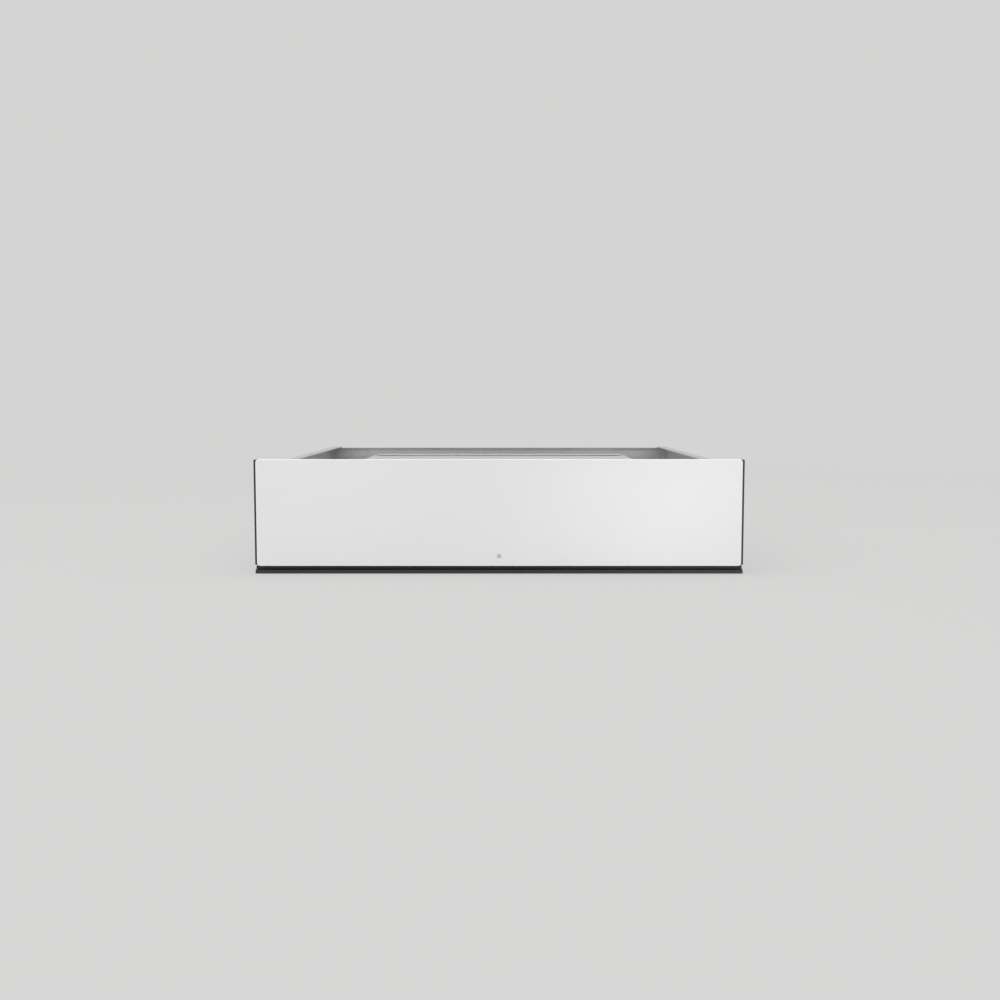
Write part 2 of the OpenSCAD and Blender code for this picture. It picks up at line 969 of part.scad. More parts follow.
module latch_plunger() {
    color(black_plastic) {
        round_y([latch_x, plunger_y0, latch_z], magnet_r, magnet_t);
        round_y([latch_x, plunger_y0 + magnet_t, latch_z], plunger_r, plunger_l);
    }
}

module strike_plate() {
    color(bright_steel)
        block([latch_x - 14, latch_x + 14], [drawer_y1, drawer_y1 + strike_t], [latch_z - 8, latch_z + 8]);
}

// Terminal box with its block and gland
module terminal_box() {
    color(grey_plastic)
        difference() {
            block([box_x0, box_x1], [box_y1 - box_l, box_y1], [sheet_t, box_h]);
            block(
                [box_x0 + box_wall, box_x1 - box_wall],
                [box_y1 - box_l + box_wall, box_y1 - box_wall],
                [sheet_t + box_wall, box_h - box_wall]
            );
            round_y([gland_x, box_y1 - 2 * box_wall, gland_z], gland_r + screw_slip, 4 * box_wall);
        }
}

module terminal_block() {
    color(white_glass)
        difference() {
            block(
                [gland_x - 18, gland_x + 18],
                [box_y1 - box_l + box_wall, box_y1 - box_l + box_wall + 16],
                [sheet_t + box_wall, sheet_t + box_wall + 14]
            );
            for (x = [-12, 0, 12])
                round_z([gland_x + x, box_y1 - box_l + box_wall + 8, sheet_t + box_wall + 6], 3, 20);
        }
}

module cable_gland() {
    color(black_plastic) {
        difference() {
            union() {
                translate([gland_x, carcass_y1 + gland_out - 3, gland_z])
                    rotate([-90, 0, 0])
                        cylinder(r1 = 10, r2 = 8, h = 3);
                translate([gland_x, carcass_y1, gland_z])
                    rotate([-90, 0, 0])
                        cylinder(r = gland_hex_r, h = gland_out - 3, $fn = 6);
                round_y([gland_x, gland_in_y - 2, gland_z], gland_r, carcass_y1 - gland_in_y + 2);
            }
            round_y([gland_x, gland_in_y - 3, gland_z], gland_bore_r, total_d);
        }
        difference() {
            translate([gland_x, gland_in_y, gland_z])
                rotate([-90, 0, 0])
                    cylinder(r = gland_hex_r, h = nut_t, $fn = 6);
            round_y([gland_x, gland_in_y - 1, gland_z], gland_r + slip, nut_t + 2);
        }
    }
}

// Coiled lead: out of the box, round the coil, then forward into the drawer's back
function lead_swell(turn) =
    let (edge = min(turn, lead_turns + 2 * lead_ramp - turn) / lead_ramp, s = min(1, max(0, edge)))
    lead_coil_r * s * s * (3 - 2 * s);

function lead_path() =
    let (
        steps = (lead_turns + 2 * lead_ramp) * lead_rings,
        coil = [for (i = [0 : steps])
            let (turn = i / lead_rings, r = lead_swell(turn))
            [lead_x0 + turn * lead_pitch, gap_y + r * sin(360 * turn), lead_z - r * cos(360 * turn)]],
        bend = [for (a = [15 : 15 : 90])
            [
                lead_x1 + lead_bend_r * sin(a),
                gap_y - lead_bend_r * (1 - cos(a)),
                lead_z + (grommet_z - lead_z) * (1 - cos(a))
            ]]
    )
    concat([[box_x1, gap_y, lead_z]], coil, bend, [[grommet_x, drawer_y1 + grommet_t, grommet_z]]);

module coiled_lead() {
    echo(lead_gap = least_gap(lead_path(), lead_r));
    color(black_rubber)
        tube(lead_path(), lead_r, 6, [0, 0, 1]);
}

module lead_grommet() {
    color(black_rubber)
        translate([grommet_x, drawer_y1, grommet_z]) {
            round_y([0, 0, 0], grommet_r, grommet_t);
            round_y([0, -sheet_t, 0], grommet_r - grommet_step, sheet_t);
            round_y([0, -sheet_t - grommet_t, 0], grommet_r, grommet_t);
        }
}

module carcass_screws() {
    color(bright_steel) {
        at_outer_slide_fixings()
            screw(sheet_t + slide_t);
        at_cross_rail_fixings()
            screw(2 * sheet_t);
        at_rear_wall_fixings()
            screw(2 * sheet_t);
        at_trim_fixings()
            screw(sheet_t + trim_t - 0.3);
    }
}

// Drawer box under the deck
module drawer_tray() {
    color(galvanised)
        difference() {
            union() {
                block(
                    [sheet_t - drawer_x, drawer_x - sheet_t],
                    [front_wall_y, drawer_y1],
                    [drawer_z, tray_z]
                );
                block(
                    [sheet_t - drawer_x, drawer_x - sheet_t],
                    [front_wall_y, front_back_y],
                    [drawer_z, deck_z]
                );
                block(
                    [sheet_t - drawer_x, drawer_x - sheet_t],
                    [drawer_y1 - sheet_t, drawer_y1],
                    [drawer_z, deck_z]
                );
            }
            fan_slots(4 * sheet_t);
            round_y(
                [grommet_x, drawer_y1 - 2 * sheet_t, grommet_z],
                grommet_r - grommet_step + slip,
                4 * sheet_t
            );
            at_carrier_fixings()
                screw_hole(sheet_t);
            for (x = [-2 : 2])
                translate([x * 40, chamber_y1 + 12, drawer_z])
                    slot_x(26, slot_w, 4 * sheet_t);
        }
}

module drawer_side() {
    difference() {
        union() {
            block([drawer_x - sheet_t, drawer_x], [front_wall_y, drawer_y1], [drawer_z, deck_z]);
            block(
                [drawer_x - sheet_t, drawer_x + 6.5],
                [front_wall_y, drawer_y1],
                [deck_z - sheet_t, deck_z]
            );
        }
        at_inner_slide_fixings()
            screw_hole(sheet_t);
        at_deck_fixings()
            screw_hole(deck_t + sheet_t);
    }
}

module drawer_right_side() {
    color(galvanised)
        drawer_side();
}

module drawer_left_side() {
    color(galvanised)
        mirror([1, 0, 0])
            drawer_side();
}

// Stainless deck with the chamber's opening, the board's window and the air slots
module deck_plate() {
    color(stainless)
        difference() {
            union() {
                block([-deck_x, deck_x], [front_wall_y, drawer_y1], [deck_z, deck_top]);
                both_sides()
                    block([deck_x - sheet_t, deck_x], [front_wall_y, drawer_y1], [deck_z - 8, deck_z]);
            }
            translate([0, chamber_yc, deck_z - 1])
                rounded_plate(
                    chamber_w + 2 * chamber_t + 1,
                    chamber_l + 2 * chamber_t + 1,
                    deck_t + 2,
                    chamber_r + chamber_t + 0.5
                );
            translate([0, control_yc, deck_z - 1])
                rounded_plate(control_w - 2 * window_margin, control_l - window_margin, deck_t + 2, window_r);
            for (row = [0 : 2], x = [-4 : 4])
                translate([x * 22, drawer_y1 - 22 - row * 12, deck_z])
                    slot_x(16, slot_w, 4 * deck_t);
            at_deck_fixings()
                screw_hole(deck_t);
            at_hinge_fixings()
                screw_hole(2 + deck_t);
        }
}

// Folded steel box that carries the front glass
module front_carrier() {
    x = overall_w / 2;
    z0 = drawer_z + carrier_inset;
    z1 = front_h - carrier_inset;
    color(dark_trim)
        difference() {
            block([-x, x], [carrier_y, front_wall_y], [z0, z1]);
            block(
                [sheet_t - x, x - sheet_t],
                [carrier_y + sheet_t, front_wall_y - sheet_t],
                [z0 + sheet_t, z1 - sheet_t]
            );
            block(
                [carrier_lip - x, x - carrier_lip],
                [carrier_y + sheet_t, front_wall_y + 1],
                [z0 + carrier_lip, z1 - carrier_lip]
            );
            at_carrier_fixings()
                screw_hole(2 * sheet_t);
        }
}

module front_glass() {
    color(white_glass)
        translate([0, 0, drawer_z + glass_h / 2])
            along_y(face_y, glass_t)
                rounded_outline(front_w, glass_h, glass_r);
}

// Touch strip on the deck and its board below the window
module control_glass() {
    color(black_glass)
        translate([0, control_yc, deck_top])
            rounded_plate(control_w, control_l, control_t, 4);
}

module at_control_spacers() {
    for (x = [-1, 1], y = [-1, 1])
        translate([x * (control_w / 2 - 8), control_yc + y * (control_l / 2 - 5), 0])
            children();
}

module at_power_spacers() {
    for (x = [-1, 1], y = [-1, 1])
        translate([power_x + x * (power_w / 2 - 5), power_y + y * (power_l / 2 - 5), 0])
            children();
}

module control_board() {
    z = deck_z - board_drop - board_t;
    color(board_green) {
        difference() {
            block([-control_w / 2, control_w / 2], [control_y0, control_y0 + control_l], [z, z + board_t]);
            at_control_spacers()
                round_z([0, 0, z - 1], 1.6, board_t + 2);
        }
        for (i = [-3 : 3])
            round_z([i * key_pitch, control_yc, z + board_t], key_r, board_drop - 1);
        block([-chip_w / 2, chip_w / 2], [control_yc - chip_w / 2, control_yc + chip_w / 2], [z - chip_t, z]);
        block(
            [touch_plug_x - control_w / 2 - touch_plug_l, touch_plug_x - control_w / 2 + touch_plug_l],
            [control_yc - touch_plug_l / 2, control_yc + touch_plug_l / 2],
            [z - touch_plug_h, z]
        );
    }
}

// Power board in the left bay
module power_board() {
    z = power_z + board_t;
    left = power_x - power_w / 2;
    front = power_y - power_l / 2;
    color(board_green) {
        difference() {
            block([left, left + power_w], [front, front + power_l], [power_z, z]);
            at_power_spacers()
                round_z([0, 0, power_z - 1], 1.6, board_t + 2);
        }
        for (i = [0, 1])
            translate([left + board_edge + i * (relay_w + part_gap), front + board_edge, z])
                cube([relay_w, relay_l, relay_w]);
        round_z([left + board_edge + capacitor_r, front + capacitor_y, z], capacitor_r, capacitor_h);
        translate([left + board_edge, front + cooler_y, z])
            cube([cooler_w, fin_t, cooler_h]);
        for (i = [0 : 5])
            translate([left + board_edge + i * (cooler_w - fin_t) / 5, front + cooler_y, z])
                cube([fin_t, cooler_w, cooler_h]);
        translate([power_x - plug_w / 2, front + plug_y, z])
            cube([plug_w, plug_l, plug_h]);
    }
}

module board_spacers() {
    color(grey_plastic) {
        at_control_spacers()
            round_z([0, 0, deck_z - board_drop], 3, board_drop);
        at_power_spacers()
            round_z([0, 0, tray_z], 3, power_z - tray_z);
    }
}

// Transformer for the heating band, in the left bay ahead of the power board
module sealing_transformer() {
    foot_l = (transformer_l - core_l) / 2;
    window_h = transformer_h - 2 * core_window;
    translate([power_x, transformer_y, tray_z]) {
        color(dark_trim) {
            difference() {
                block(
                    [-transformer_w / 2, transformer_w / 2],
                    [-core_l / 2, core_l / 2],
                    [foot_t, transformer_h]
                );
                for (side = [-1, 1])
                    translate([side * core_window, 0, (foot_t + transformer_h) / 2])
                        cube([core_window - foot_t, core_l + 2, window_h], center = true);
            }
            for (end = [-1, 1])
                translate([0, end * (core_l + foot_l) / 2, foot_t / 2])
                    cube([transformer_w, foot_l, foot_t], center = true);
        }
        color(copper)
            for (end = [-1, 1])
                translate([0, end * (core_l / 2 + coil_l / 2 + 0.2), (foot_t + transformer_h) / 2])
                    cube([transformer_w * 0.65, coil_l, window_h], center = true);
    }
}

// Valve block in the right bay, with two solenoids and its spigots
module valve_block() {
    color(cast_alloy) {
        block(
            [valve_x - valve_w / 2, valve_x + valve_w / 2],
            [valve_y - valve_l / 2, valve_y + valve_l / 2],
            [valve_z, valve_z + valve_h]
        );
        for (y = [-1, 1])
            block(
                [valve_x - valve_w / 2, valve_x + valve_w / 2],
                [valve_y + y * (valve_l / 2 - 12) - 5, valve_y + y * (valve_l / 2 - 12) + 5],
                [tray_z, valve_z]
            );
        round_y([valve_x, valve_y + valve_l / 2, valve_z + valve_h / 2], spigot_r, spigot_l);
        round_y([valve_x, valve_y - valve_l / 2 - spigot_l, valve_z + valve_h / 2], spigot_r, spigot_l);
    }
    color(black_plastic)
        for (y = [-1, 1]) {
            round_z([valve_x, valve_y + y * valve_l / 4, valve_z + valve_h], solenoid_r, solenoid_h);
            round_z([valve_x, valve_y + y * valve_l / 4, valve_z + valve_h + solenoid_h], 5, 5);
        }
}

// Hoses, each a list of round points from one spigot to the other
module vacuum_hoses() {
    valve_y0 = valve_y - valve_l / 2 - spigot_l;
    valve_y1 = valve_y + valve_l / 2 + spigot_l;
    valve_mid_z = valve_z + valve_h / 2;
    bar_line_z = tray_z + line_r + 2;
    color(grey_silicone) {
        tube(smooth_path([
            [suction_x, spigot_end_y, suction_z],
            [suction_x, spigot_end_y + 9, suction_z],
            [suction_x + 4, pump_y - 29, suction_z],
            [suction_x + 6, pump_y - 16, suction_z - 1],
            [stage_port_x + 18, pump_y - 3, stage_port_z],
            [stage_port_x + 9, pump_y, stage_port_z],
            [stage_port_x, pump_y, stage_port_z]
        ], 4), hose_r, 10, [0, 0, 1]);
        tube(smooth_path([
            [vent_x, spigot_end_y, vent_z],
            [vent_x, spigot_end_y + 9, vent_z],
            [vent_x + 10, spigot_end_y + 18, vent_z],
            [vent_x + 40, spigot_end_y + 21, vent_z - 4],
            [valve_x - 28, chamber_y1 + 26, vent_z - 12],
            [valve_x - 3, chamber_y1 - 8, valve_mid_z + 1],
            [valve_x, valve_y1 + 9, valve_mid_z],
            [valve_x, valve_y1, valve_mid_z]
        ], 4), hose_r, 10, [0, 0, 1]);
        tube(smooth_path([
            [valve_x, valve_y0, valve_mid_z],
            [valve_x, valve_y0 - 8, valve_mid_z],
            [valve_x - 16, bar_y + 40, bar_line_z + 2],
            [valve_x - 56, bar_y + 6, bar_line_z],
            [rod_x + stub_r + 14, bar_y, bar_line_z],
            [rod_x + stub_r, bar_y, bar_line_z]
        ], 4), line_r, 8, [0, 0, 1]);
        tube([
            [rod_x - stub_r, bar_y, bar_line_z],
            [0, bar_y, bar_line_z],
            [stub_r - rod_x, bar_y, bar_line_z]
        ], line_r, 8, [0, 0, 1]);
    }
}

// Bundled wires from the power board: forward to the control board, back to the grommet
module wiring_harness() {
    plug_z = power_z + board_t + plug_h / 2;
    front = power_y - power_l / 2;
    touch_x = touch_plug_x - control_w / 2;
    touch_z = deck_z - board_drop - board_t - touch_plug_h / 2;
    color(black_rubber) {
        tube(smooth_path([
            [power_x + 8, front + plug_y, plug_z],
            [power_x + 8, front + plug_y - 7, plug_z],
            [power_x + 11, front + 94, plug_z + 9],
            [power_x + 26, front + 70, plug_z + 12],
            [power_x + 27, front + 20, plug_z + 24],
            [power_x + 26, transformer_y, deck_z - 24],
            [power_x + 40, control_yc + 50, deck_z - 24],
            [touch_x, control_yc + 12, touch_z],
            [touch_x, control_yc + touch_plug_l / 2, touch_z]
        ], 4), line_r, 8, [0, 0, 1]);
        tube(smooth_path([
            [grommet_x, drawer_y1 - sheet_t - grommet_t, grommet_z],
            [grommet_x, drawer_y1 - sheet_t - grommet_t - 6, grommet_z],
            [grommet_x - 60, drawer_y1 - 14, grommet_z + 4],
            [bell_x0 - 40, pump_y + 24, grommet_z + 12],
            [power_x + 4, pump_y - 20, plug_z + 1],
            [power_x, front + plug_y + plug_l + 8, plug_z],
            [power_x, front + plug_y + plug_l, plug_z]
        ], 4), line_r, 8, [0, 0, 1]);
    }
}

// Vacuum chamber, pressed from stainless sheet, with a rim that lies on the deck
module chamber_form(w, l, z0, z1, r, fillet) {
    hull()
        for (sx = [-1, 1], sy = [-1, 1])
            translate([sx * (w / 2 - r), chamber_yc + sy * (l / 2 - r), 0]) {
                for (a = [0, 30, 60])
                    round_z([0, 0, z0 + fillet * (1 - cos(a))], r - fillet * (1 - sin(a)), 0.01);
                round_z([0, 0, z0 + fillet], r, z1 - z0 - fillet);
            }
}

module chamber_tub() {
    color(stainless)
        difference() {
            union() {
                chamber_form(
                    chamber_w + 2 * chamber_t,
                    chamber_l + 2 * chamber_t,
                    chamber_floor_z - chamber_t,
                    rim_z,
                    chamber_r + chamber_t,
                    chamber_fillet + chamber_t
                );
                translate([0, chamber_yc, deck_top])
                    rounded_plate(rim_outer_w, rim_outer_l, chamber_t, chamber_r + rim_w);
            }
            chamber_form(chamber_w, chamber_l, chamber_floor_z, rim_z + 1, chamber_r, chamber_fillet);
            for (x = [-1, 1])
                round_z([x * rod_x, bar_y, chamber_floor_z - 3], stub_r + slip, 6);
            for (port = [[suction_x, suction_z], [vent_x, vent_z]])
                round_y([port[0], chamber_y1 - 1, port[1]], spigot_r + slip, chamber_t + 2);
        }
}

// Slotted cover over the chamber's two ports, with their spigots
module suction_cover() {
    x0 = vent_x - cover_margin;
    x1 = suction_x + cover_margin;
    z0 = vent_z - cover_margin;
    z1 = suction_z + cover_margin;
    slots = floor((z1 - z0 - slot_pitch) / slot_pitch);
    color(stainless)
        difference() {
            block([x0, x1], [chamber_y1 - cover_depth, chamber_y1], [z0, z1]);
            block(
                [x0 + cover_wall, x1 - cover_wall],
                [chamber_y1 - cover_depth + cover_wall, chamber_y1 + 1],
                [z0 + cover_wall, z1 - cover_wall]
            );
            for (i = [0 : slots - 1])
                translate([0, chamber_y1 - cover_depth, (z0 + z1) / 2 + (i - (slots - 1) / 2) * slot_pitch])
                    rotate([90, 0, 0])
                        translate([(x0 + x1) / 2, 0, 0])
                            slot_x(x1 - x0 - cover_margin, cover_slot_w, 3 * cover_wall);
        }
    color(cast_alloy)
        for (port = [[suction_x, suction_z], [vent_x, vent_z]])
            round_y([port[0], chamber_y1 - 2, port[1]], spigot_r, spigot_end_y - chamber_y1 + 2);
}

// Cylinders that lift the sealing bar, standing on the chamber floor
module lift_cylinders() {
    color(cast_alloy)
        for (x = [-1, 1])
            translate([x * rod_x, bar_y, 0])
                difference() {
                    union() {
                        round_z([0, 0, chamber_floor_z], cylinder_r, cylinder_top - chamber_floor_z);
                        round_z([0, 0, stub_z], stub_r, chamber_floor_z - stub_z);
                    }
                    round_z([0, 0, rod_foot_z - 1], rod_r + slip, cylinder_top);
                }
}

module seal_bar() {
    color(cast_alloy) {
        translate([0, bar_y, bar_z])
            rounded_plate(bar_l, bar_w, bar_h, bar_corner);
    }
    color(bright_steel)
        for (x = [-1, 1])
            round_z([x * rod_x, bar_y, rod_foot_z], rod_r, bar_z - rod_foot_z);
}

module heating_band() {
    color(copper)
        translate([0, bar_y, bar_top])
            rounded_plate(bar_l - 2 * band_margin, band_w, band_t, band_w / 6);
}

// Lid: glass, seal, front grip, counter bar and hinge rail
module lid_glass() {
    color(clear_glass)
        translate([0, (lid_y0 + lid_y1) / 2, lid_z])
            rounded_plate(lid_w, lid_y1 - lid_y0, lid_t, lid_r);
}

module lid_seal() {
    w = chamber_w + rim_w + seal_w;
    l = chamber_l + rim_w + seal_w;
    r = chamber_r + (rim_w + seal_w) / 2;
    color(grey_silicone)
        translate([0, chamber_yc, lid_z - seal_h])
            difference() {
                rounded_plate(w, l, seal_h, r);
                translate([0, 0, -1])
                    rounded_plate(w - 2 * seal_w, l - 2 * seal_w, seal_h + 2, r - seal_w);
            }
}

module lid_grip() {
    color(stainless)
        difference() {
            block(
                [-grip_w / 2, grip_w / 2],
                [lid_y0 - grip_out, lid_y0 + grip_wrap],
                [lid_z - rail_t, lid_z + lid_t + rail_t]
            );
            block([-grip_w, grip_w], [lid_y0, lid_y0 + grip_wrap + 1], [lid_z, lid_z + lid_t]);
            along_x(grip_w + 2)
                polygon([
                    [lid_y0 - grip_out - 1, lid_z - rail_t - 1],
                    [lid_y0 - rail_t, lid_z - rail_t - 1],
                    [lid_y0 - rail_t, lid_z + lid_t - rail_t],
                    [lid_y0 - grip_out + rail_t, lid_z + lid_t - rail_t],
                    [lid_y0 - grip_out - 1, lid_z + lid_t - rail_t - rail_t]
                ]);
        }
}

module counter_bar() {
    channel_z = lid_z - counter_channel;
    color(bright_steel)
        difference() {
            block(
                [-bar_l / 2, bar_l / 2],
                [bar_y - counter_w / 2 - 1.2, bar_y + counter_w / 2 + 1.2],
                [channel_z, lid_z]
            );
            block(
                [-bar_l, bar_l],
                [bar_y - counter_w / 2, bar_y + counter_w / 2],
                [channel_z - 1, lid_z - 1.2]
            );
        }
    color(grey_silicone)
        block(
            [-bar_l / 2, bar_l / 2],
            [bar_y - counter_w / 2, bar_y + counter_w / 2],
            [counter_z, lid_z - 1.2]
        );
}

module lid_hinge_rail() {
    color(stainless)
        difference() {
            union() {
                block(
                    [-lid_w / 2 + 6, lid_w / 2 - 6],
                    [lid_y1 - rail_wrap, lid_y1 + rail_t],
                    [lid_z - rail_t, lid_z + lid_t + rail_t]
                );
                for (side = [-1, 1])
                    translate([side * hinge_x, 0, 0]) {
                        round_x([-knuckle_l / 2, hinge_y, hinge_z], knuckle_r, knuckle_l);
                        block([-knuckle_l / 2, knuckle_l / 2], [lid_y1, hinge_y], [hinge_z - 3, hinge_z + 3]);
                    }
            }
            block([-lid_w, lid_w], [lid_y1 - rail_wrap - 1, lid_y1], [lid_z, lid_z + lid_t]);
            round_x([-lid_w / 2, hinge_y, hinge_z], hinge_pin_r + slip, lid_w);
            translate([0, chamber_yc, lid_z - seal_h])
                rounded_plate(
                    chamber_w + rim_w + seal_w + 1,
                    chamber_l + rim_w + seal_w + 1,
                    seal_h,
                    chamber_r + (rim_w + seal_w) / 2 + 0.5
                );
        }
}

// Fixed half of each hinge: a foot on the deck with two ears
module hinge_brackets() {
    ear_x = knuckle_l / 2 + ear_gap;
    foot = ear_x + ear_t + 10;
    color(stainless)
        difference() {
            for (side = [-1, 1])
                translate([side * hinge_x, 0, 0]) {
                    block([-foot, foot], [hinge_y - 7, hinge_y + 10], [deck_top, deck_top + 2]);
                    for (ear = [-1, 1])
                        translate([ear * (ear_x + ear_t / 2), 0, 0]) {
                            block(
                                [-ear_t / 2, ear_t / 2],
                                [hinge_y - knuckle_r, hinge_y + knuckle_r],
                                [deck_top + 1, hinge_z]
                            );
                            round_x([-ear_t / 2, hinge_y, hinge_z], knuckle_r, ear_t);
                        }
                }
            round_x([-lid_w / 2, hinge_y, hinge_z], hinge_pin_r + slip, lid_w);
            at_hinge_fixings()
                screw_hole(2);
        }
}

module hinge_pins() {
    l = knuckle_l + 2 * (ear_gap + ear_t) + 2;
    color(bright_steel)
        for (side = [-1, 1])
            translate([side * hinge_x, hinge_y, hinge_z]) {
                round_x([-l / 2, 0, 0], hinge_pin_r, l);
                round_x([l / 2 - 1, 0, 0], hinge_pin_r + 1.2, 1.6);
            }
}

// Pump motor with cooling ribs and a bore for the armature
module pump_motor() {
    color(cast_alloy)
        translate([motor_x0, pump_y, pump_z])
            rotate([0, 90, 0])
                difference() {
                    cylinder(r = pump_r, h = motor_l);
                    round_z([0, 0, -1], armature_r + 1, motor_l + 2);
                    for (i = [0 : 23])
                        rotate([0, 0, i * 15])
                            translate([pump_r - 3, -1.6, 6])
                                cube([5, 3.2, motor_l - 12]);
                }
}

// End bell with the cowl over the motor's cooling impeller
module pump_end_bell() {
    color(black_plastic)
        translate([bell_x0, pump_y, pump_z])
            rotate([0, 90, 0])
                difference() {
                    cylinder(r = pump_r, h = bell_l);
                    round_z([0, 0, 2], pump_r - 2, bell_l - 8);
                    round_z([0, 0, -1], shaft_r + slip, bell_l + 2);
                    for (i = [0 : 11])
                        rotate([0, 0, i * 30])
                            translate([16, -2, -1])
                                cube([16, 4, 4]);
                }
}

// Pump stage with an offset bore for the rotor, and its cover with the inlet spigot
module pump_stage() {
    color(cast_alloy)
        translate([motor_x1, pump_y, pump_z])
            rotate([0, 90, 0])
                difference() {
                    union() {
                        cylinder(r = pump_r - 4, h = stage_l);
                        for (i = [0 : 4])
                            round_z([0, 0, 4 + i * (stage_l - 10) / 4], pump_r, 2);
                    }
                    round_z([-stage_offset, 0, 6], stage_bore_r, stage_l);
                    round_z([0, 0, -1], shaft_r + slip, stage_l);
                }
}

module pump_stage_cover() {
    color(cast_alloy) {
        difference() {
            round_x([stage_x1, pump_y, pump_z], pump_r - 2, cover_t);
            round_x([stage_x1 - 1, pump_y, pump_z], shaft_r + slip, 6);
        }
        round_x([stage_x1 + cover_t, pump_y, stage_port_z], spigot_r, spigot_l);
        for (i = [0 : 5])
            translate([stage_x1 + cover_t, pump_y, pump_z])
                rotate([0, 90, 0])
                    rotate([0, 0, 30 + i * 60])
                        translate([pump_r - 7, 0, 0])
                            cylinder(r = 3, h = 3, $fn = 6);
    }
}

module pump_shaft() {
    blades = 9;
    color(bright_steel)
        translate([0, pump_y, pump_z])
            rotate([0, 90, 0]) {
                round_z([0, 0, bell_x0 + 3], shaft_r, stage_x1 + 2 - bell_x0);
                round_z([0, 0, motor_x0 + 10], armature_r, motor_l - 20);
                translate([0, 0, motor_x1 + 6.3])
                    difference() {
                        cylinder(r = stage_rotor_r, h = stage_l - 6.6);
                        for (i = [0 : 3])
                            rotate([0, 0, i * 90])
                                translate([stage_rotor_r - 14, 4, -1])
                                    cube([20, 3, stage_l]);
                    }
                round_z([0, 0, bell_x0 + 5], 11, 10);
                for (i = [0 : blades - 1])
                    rotate([0, 0, i * 360 / blades])
                        translate([9, -0.8, bell_x0 + 5])
                            cube([impeller_r - 9, 1.6, 10]);
            }
}

// Saddle under the motor and its four rubber mounts
module pump_bracket() {
    x0 = motor_x0 + mount_in - mount_r;
    x1 = motor_x1 - mount_in + mount_r;
    color(galvanised)
        difference() {
            union() {
                block(
                    [x0, x1],
                    [pump_y - pump_r - mount_r, pump_y + pump_r + mount_r],
                    [tray_z + mount_h, tray_z + mount_h + saddle_t]
                );
                for (x = [x0 + mount_in / 2, x1 - mount_in / 2 - saddle_t])
                    block(
                        [x, x + saddle_t],
                        [pump_y - saddle_w / 2, pump_y + saddle_w / 2],
                        [tray_z + mount_h, pump_z - pump_r / 2]
                    );
            }
            round_x([x0 - 1, pump_y, pump_z], pump_r + 0.01, motor_l);
        }
}

module pump_mounts() {
    color(black_rubber)
        for (x = [motor_x0 + mount_in, motor_x1 - mount_in], y = [-1, 1])
            round_z([x, pump_y + y * (pump_r - mount_r / 3), tray_z], mount_r, mount_h);
}

// Cooling fan on the inside of the drawer's back wall
module fan_frame() {
    color(black_plastic)
        translate([fan_x, fan_y1, fan_z])
            difference() {
                along_y(-fan_t, fan_t)
                    rounded_outline(fan_size, fan_size, 4);
                rotate([90, 0, 0])
                    translate([0, 0, fan_back_t])
                        difference() {
                            cylinder(r = fan_bore_r, h = fan_t);
                            cylinder(r = fan_pin_r, h = fan_pin_l - fan_back_t);
                        }
                rotate([90, 0, 0])
                    translate([0, 0, -1])
                        difference() {
                            cylinder(r = fan_bore_r, h = 5);
                            cylinder(r = fan_hub_r, h = 5);
                            for (i = [0 : 2])
                                rotate([0, 0, i * 120 + 30])
                                    translate([0, -2.5, 0])
                                        cube([fan_size, 5, 5]);
                        }
                for (x = [-1, 1], z = [-1, 1])
                    round_y([x * (fan_size / 2 - 5), -fan_t - 1, z * (fan_size / 2 - 5)], 2.2, fan_t + 2);
            }
}

module fan_rotor() {
    back = fan_back_t + 0.5;
    depth = fan_t - 3 - back;
    color(black_plastic)
        translate([fan_x, fan_y1, fan_z])
            rotate([90, 0, 0])
                translate([0, 0, back])
                    difference() {
                        union() {
                            cylinder(r = fan_hub_r, h = depth);
                            intersection() {
                                cylinder(r = fan_bore_r - 1, h = depth);
                                for (i = [0 : fan_blades - 1])
                                    rotate([0, 0, i * 360 / fan_blades])
                                        translate([fan_hub_r - 1, 0, depth / 2])
                                            rotate([38, 0, 0])
                                                translate([0, -0.8, -fan_t])
                                                    cube([fan_bore_r, 1.6, 2 * fan_t]);
                            }
                        }
                        round_z([0, 0, -1], fan_pin_r + slip, fan_pin_l - back + 1.5);
                    }
}

module drawer_screws() {
    color(bright_steel) {
        at_inner_slide_fixings()
            screw(sheet_t + slide_t);
        at_carrier_fixings()
            screw(2 * sheet_t);
        at_deck_fixings()
            screw(deck_t + sheet_t);
        at_hinge_fixings()
            screw(2 + deck_t);
    }
}

carcass_floor();
carcass_left_wall();
carcass_right_wall();
carcass_rear_wall();
front_cross_rail();
lower_trim();
outer_slides();
slide_bumpers();
latch_body();
terminal_box();
terminal_block();
cable_gland();
coiled_lead();
carcass_screws();
latch_plunger();
left_middle_slide();
right_middle_slide();
left_outer_ball_cage();
right_outer_ball_cage();
left_inner_ball_cage();
right_inner_ball_cage();
inner_slides();
drawer_tray();
drawer_left_side();
drawer_right_side();
deck_plate();
front_carrier();
front_glass();
control_glass();
control_board();
power_board();
board_spacers();
sealing_transformer();
valve_block();
vacuum_hoses();
wiring_harness();
lead_grommet();
chamber_tub();
suction_cover();
lift_cylinders();
hinge_brackets();
hinge_pins();
pump_motor();
pump_end_bell();
pump_stage();
pump_stage_cover();
pump_bracket();
pump_mounts();
fan_frame();
drawer_screws();
strike_plate();
seal_bar();
heating_band();
lid_glass();
lid_seal();
lid_hinge_rail();
lid_grip();
counter_bar();
fan_rotor();
pump_shaft();
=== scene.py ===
import json
import math

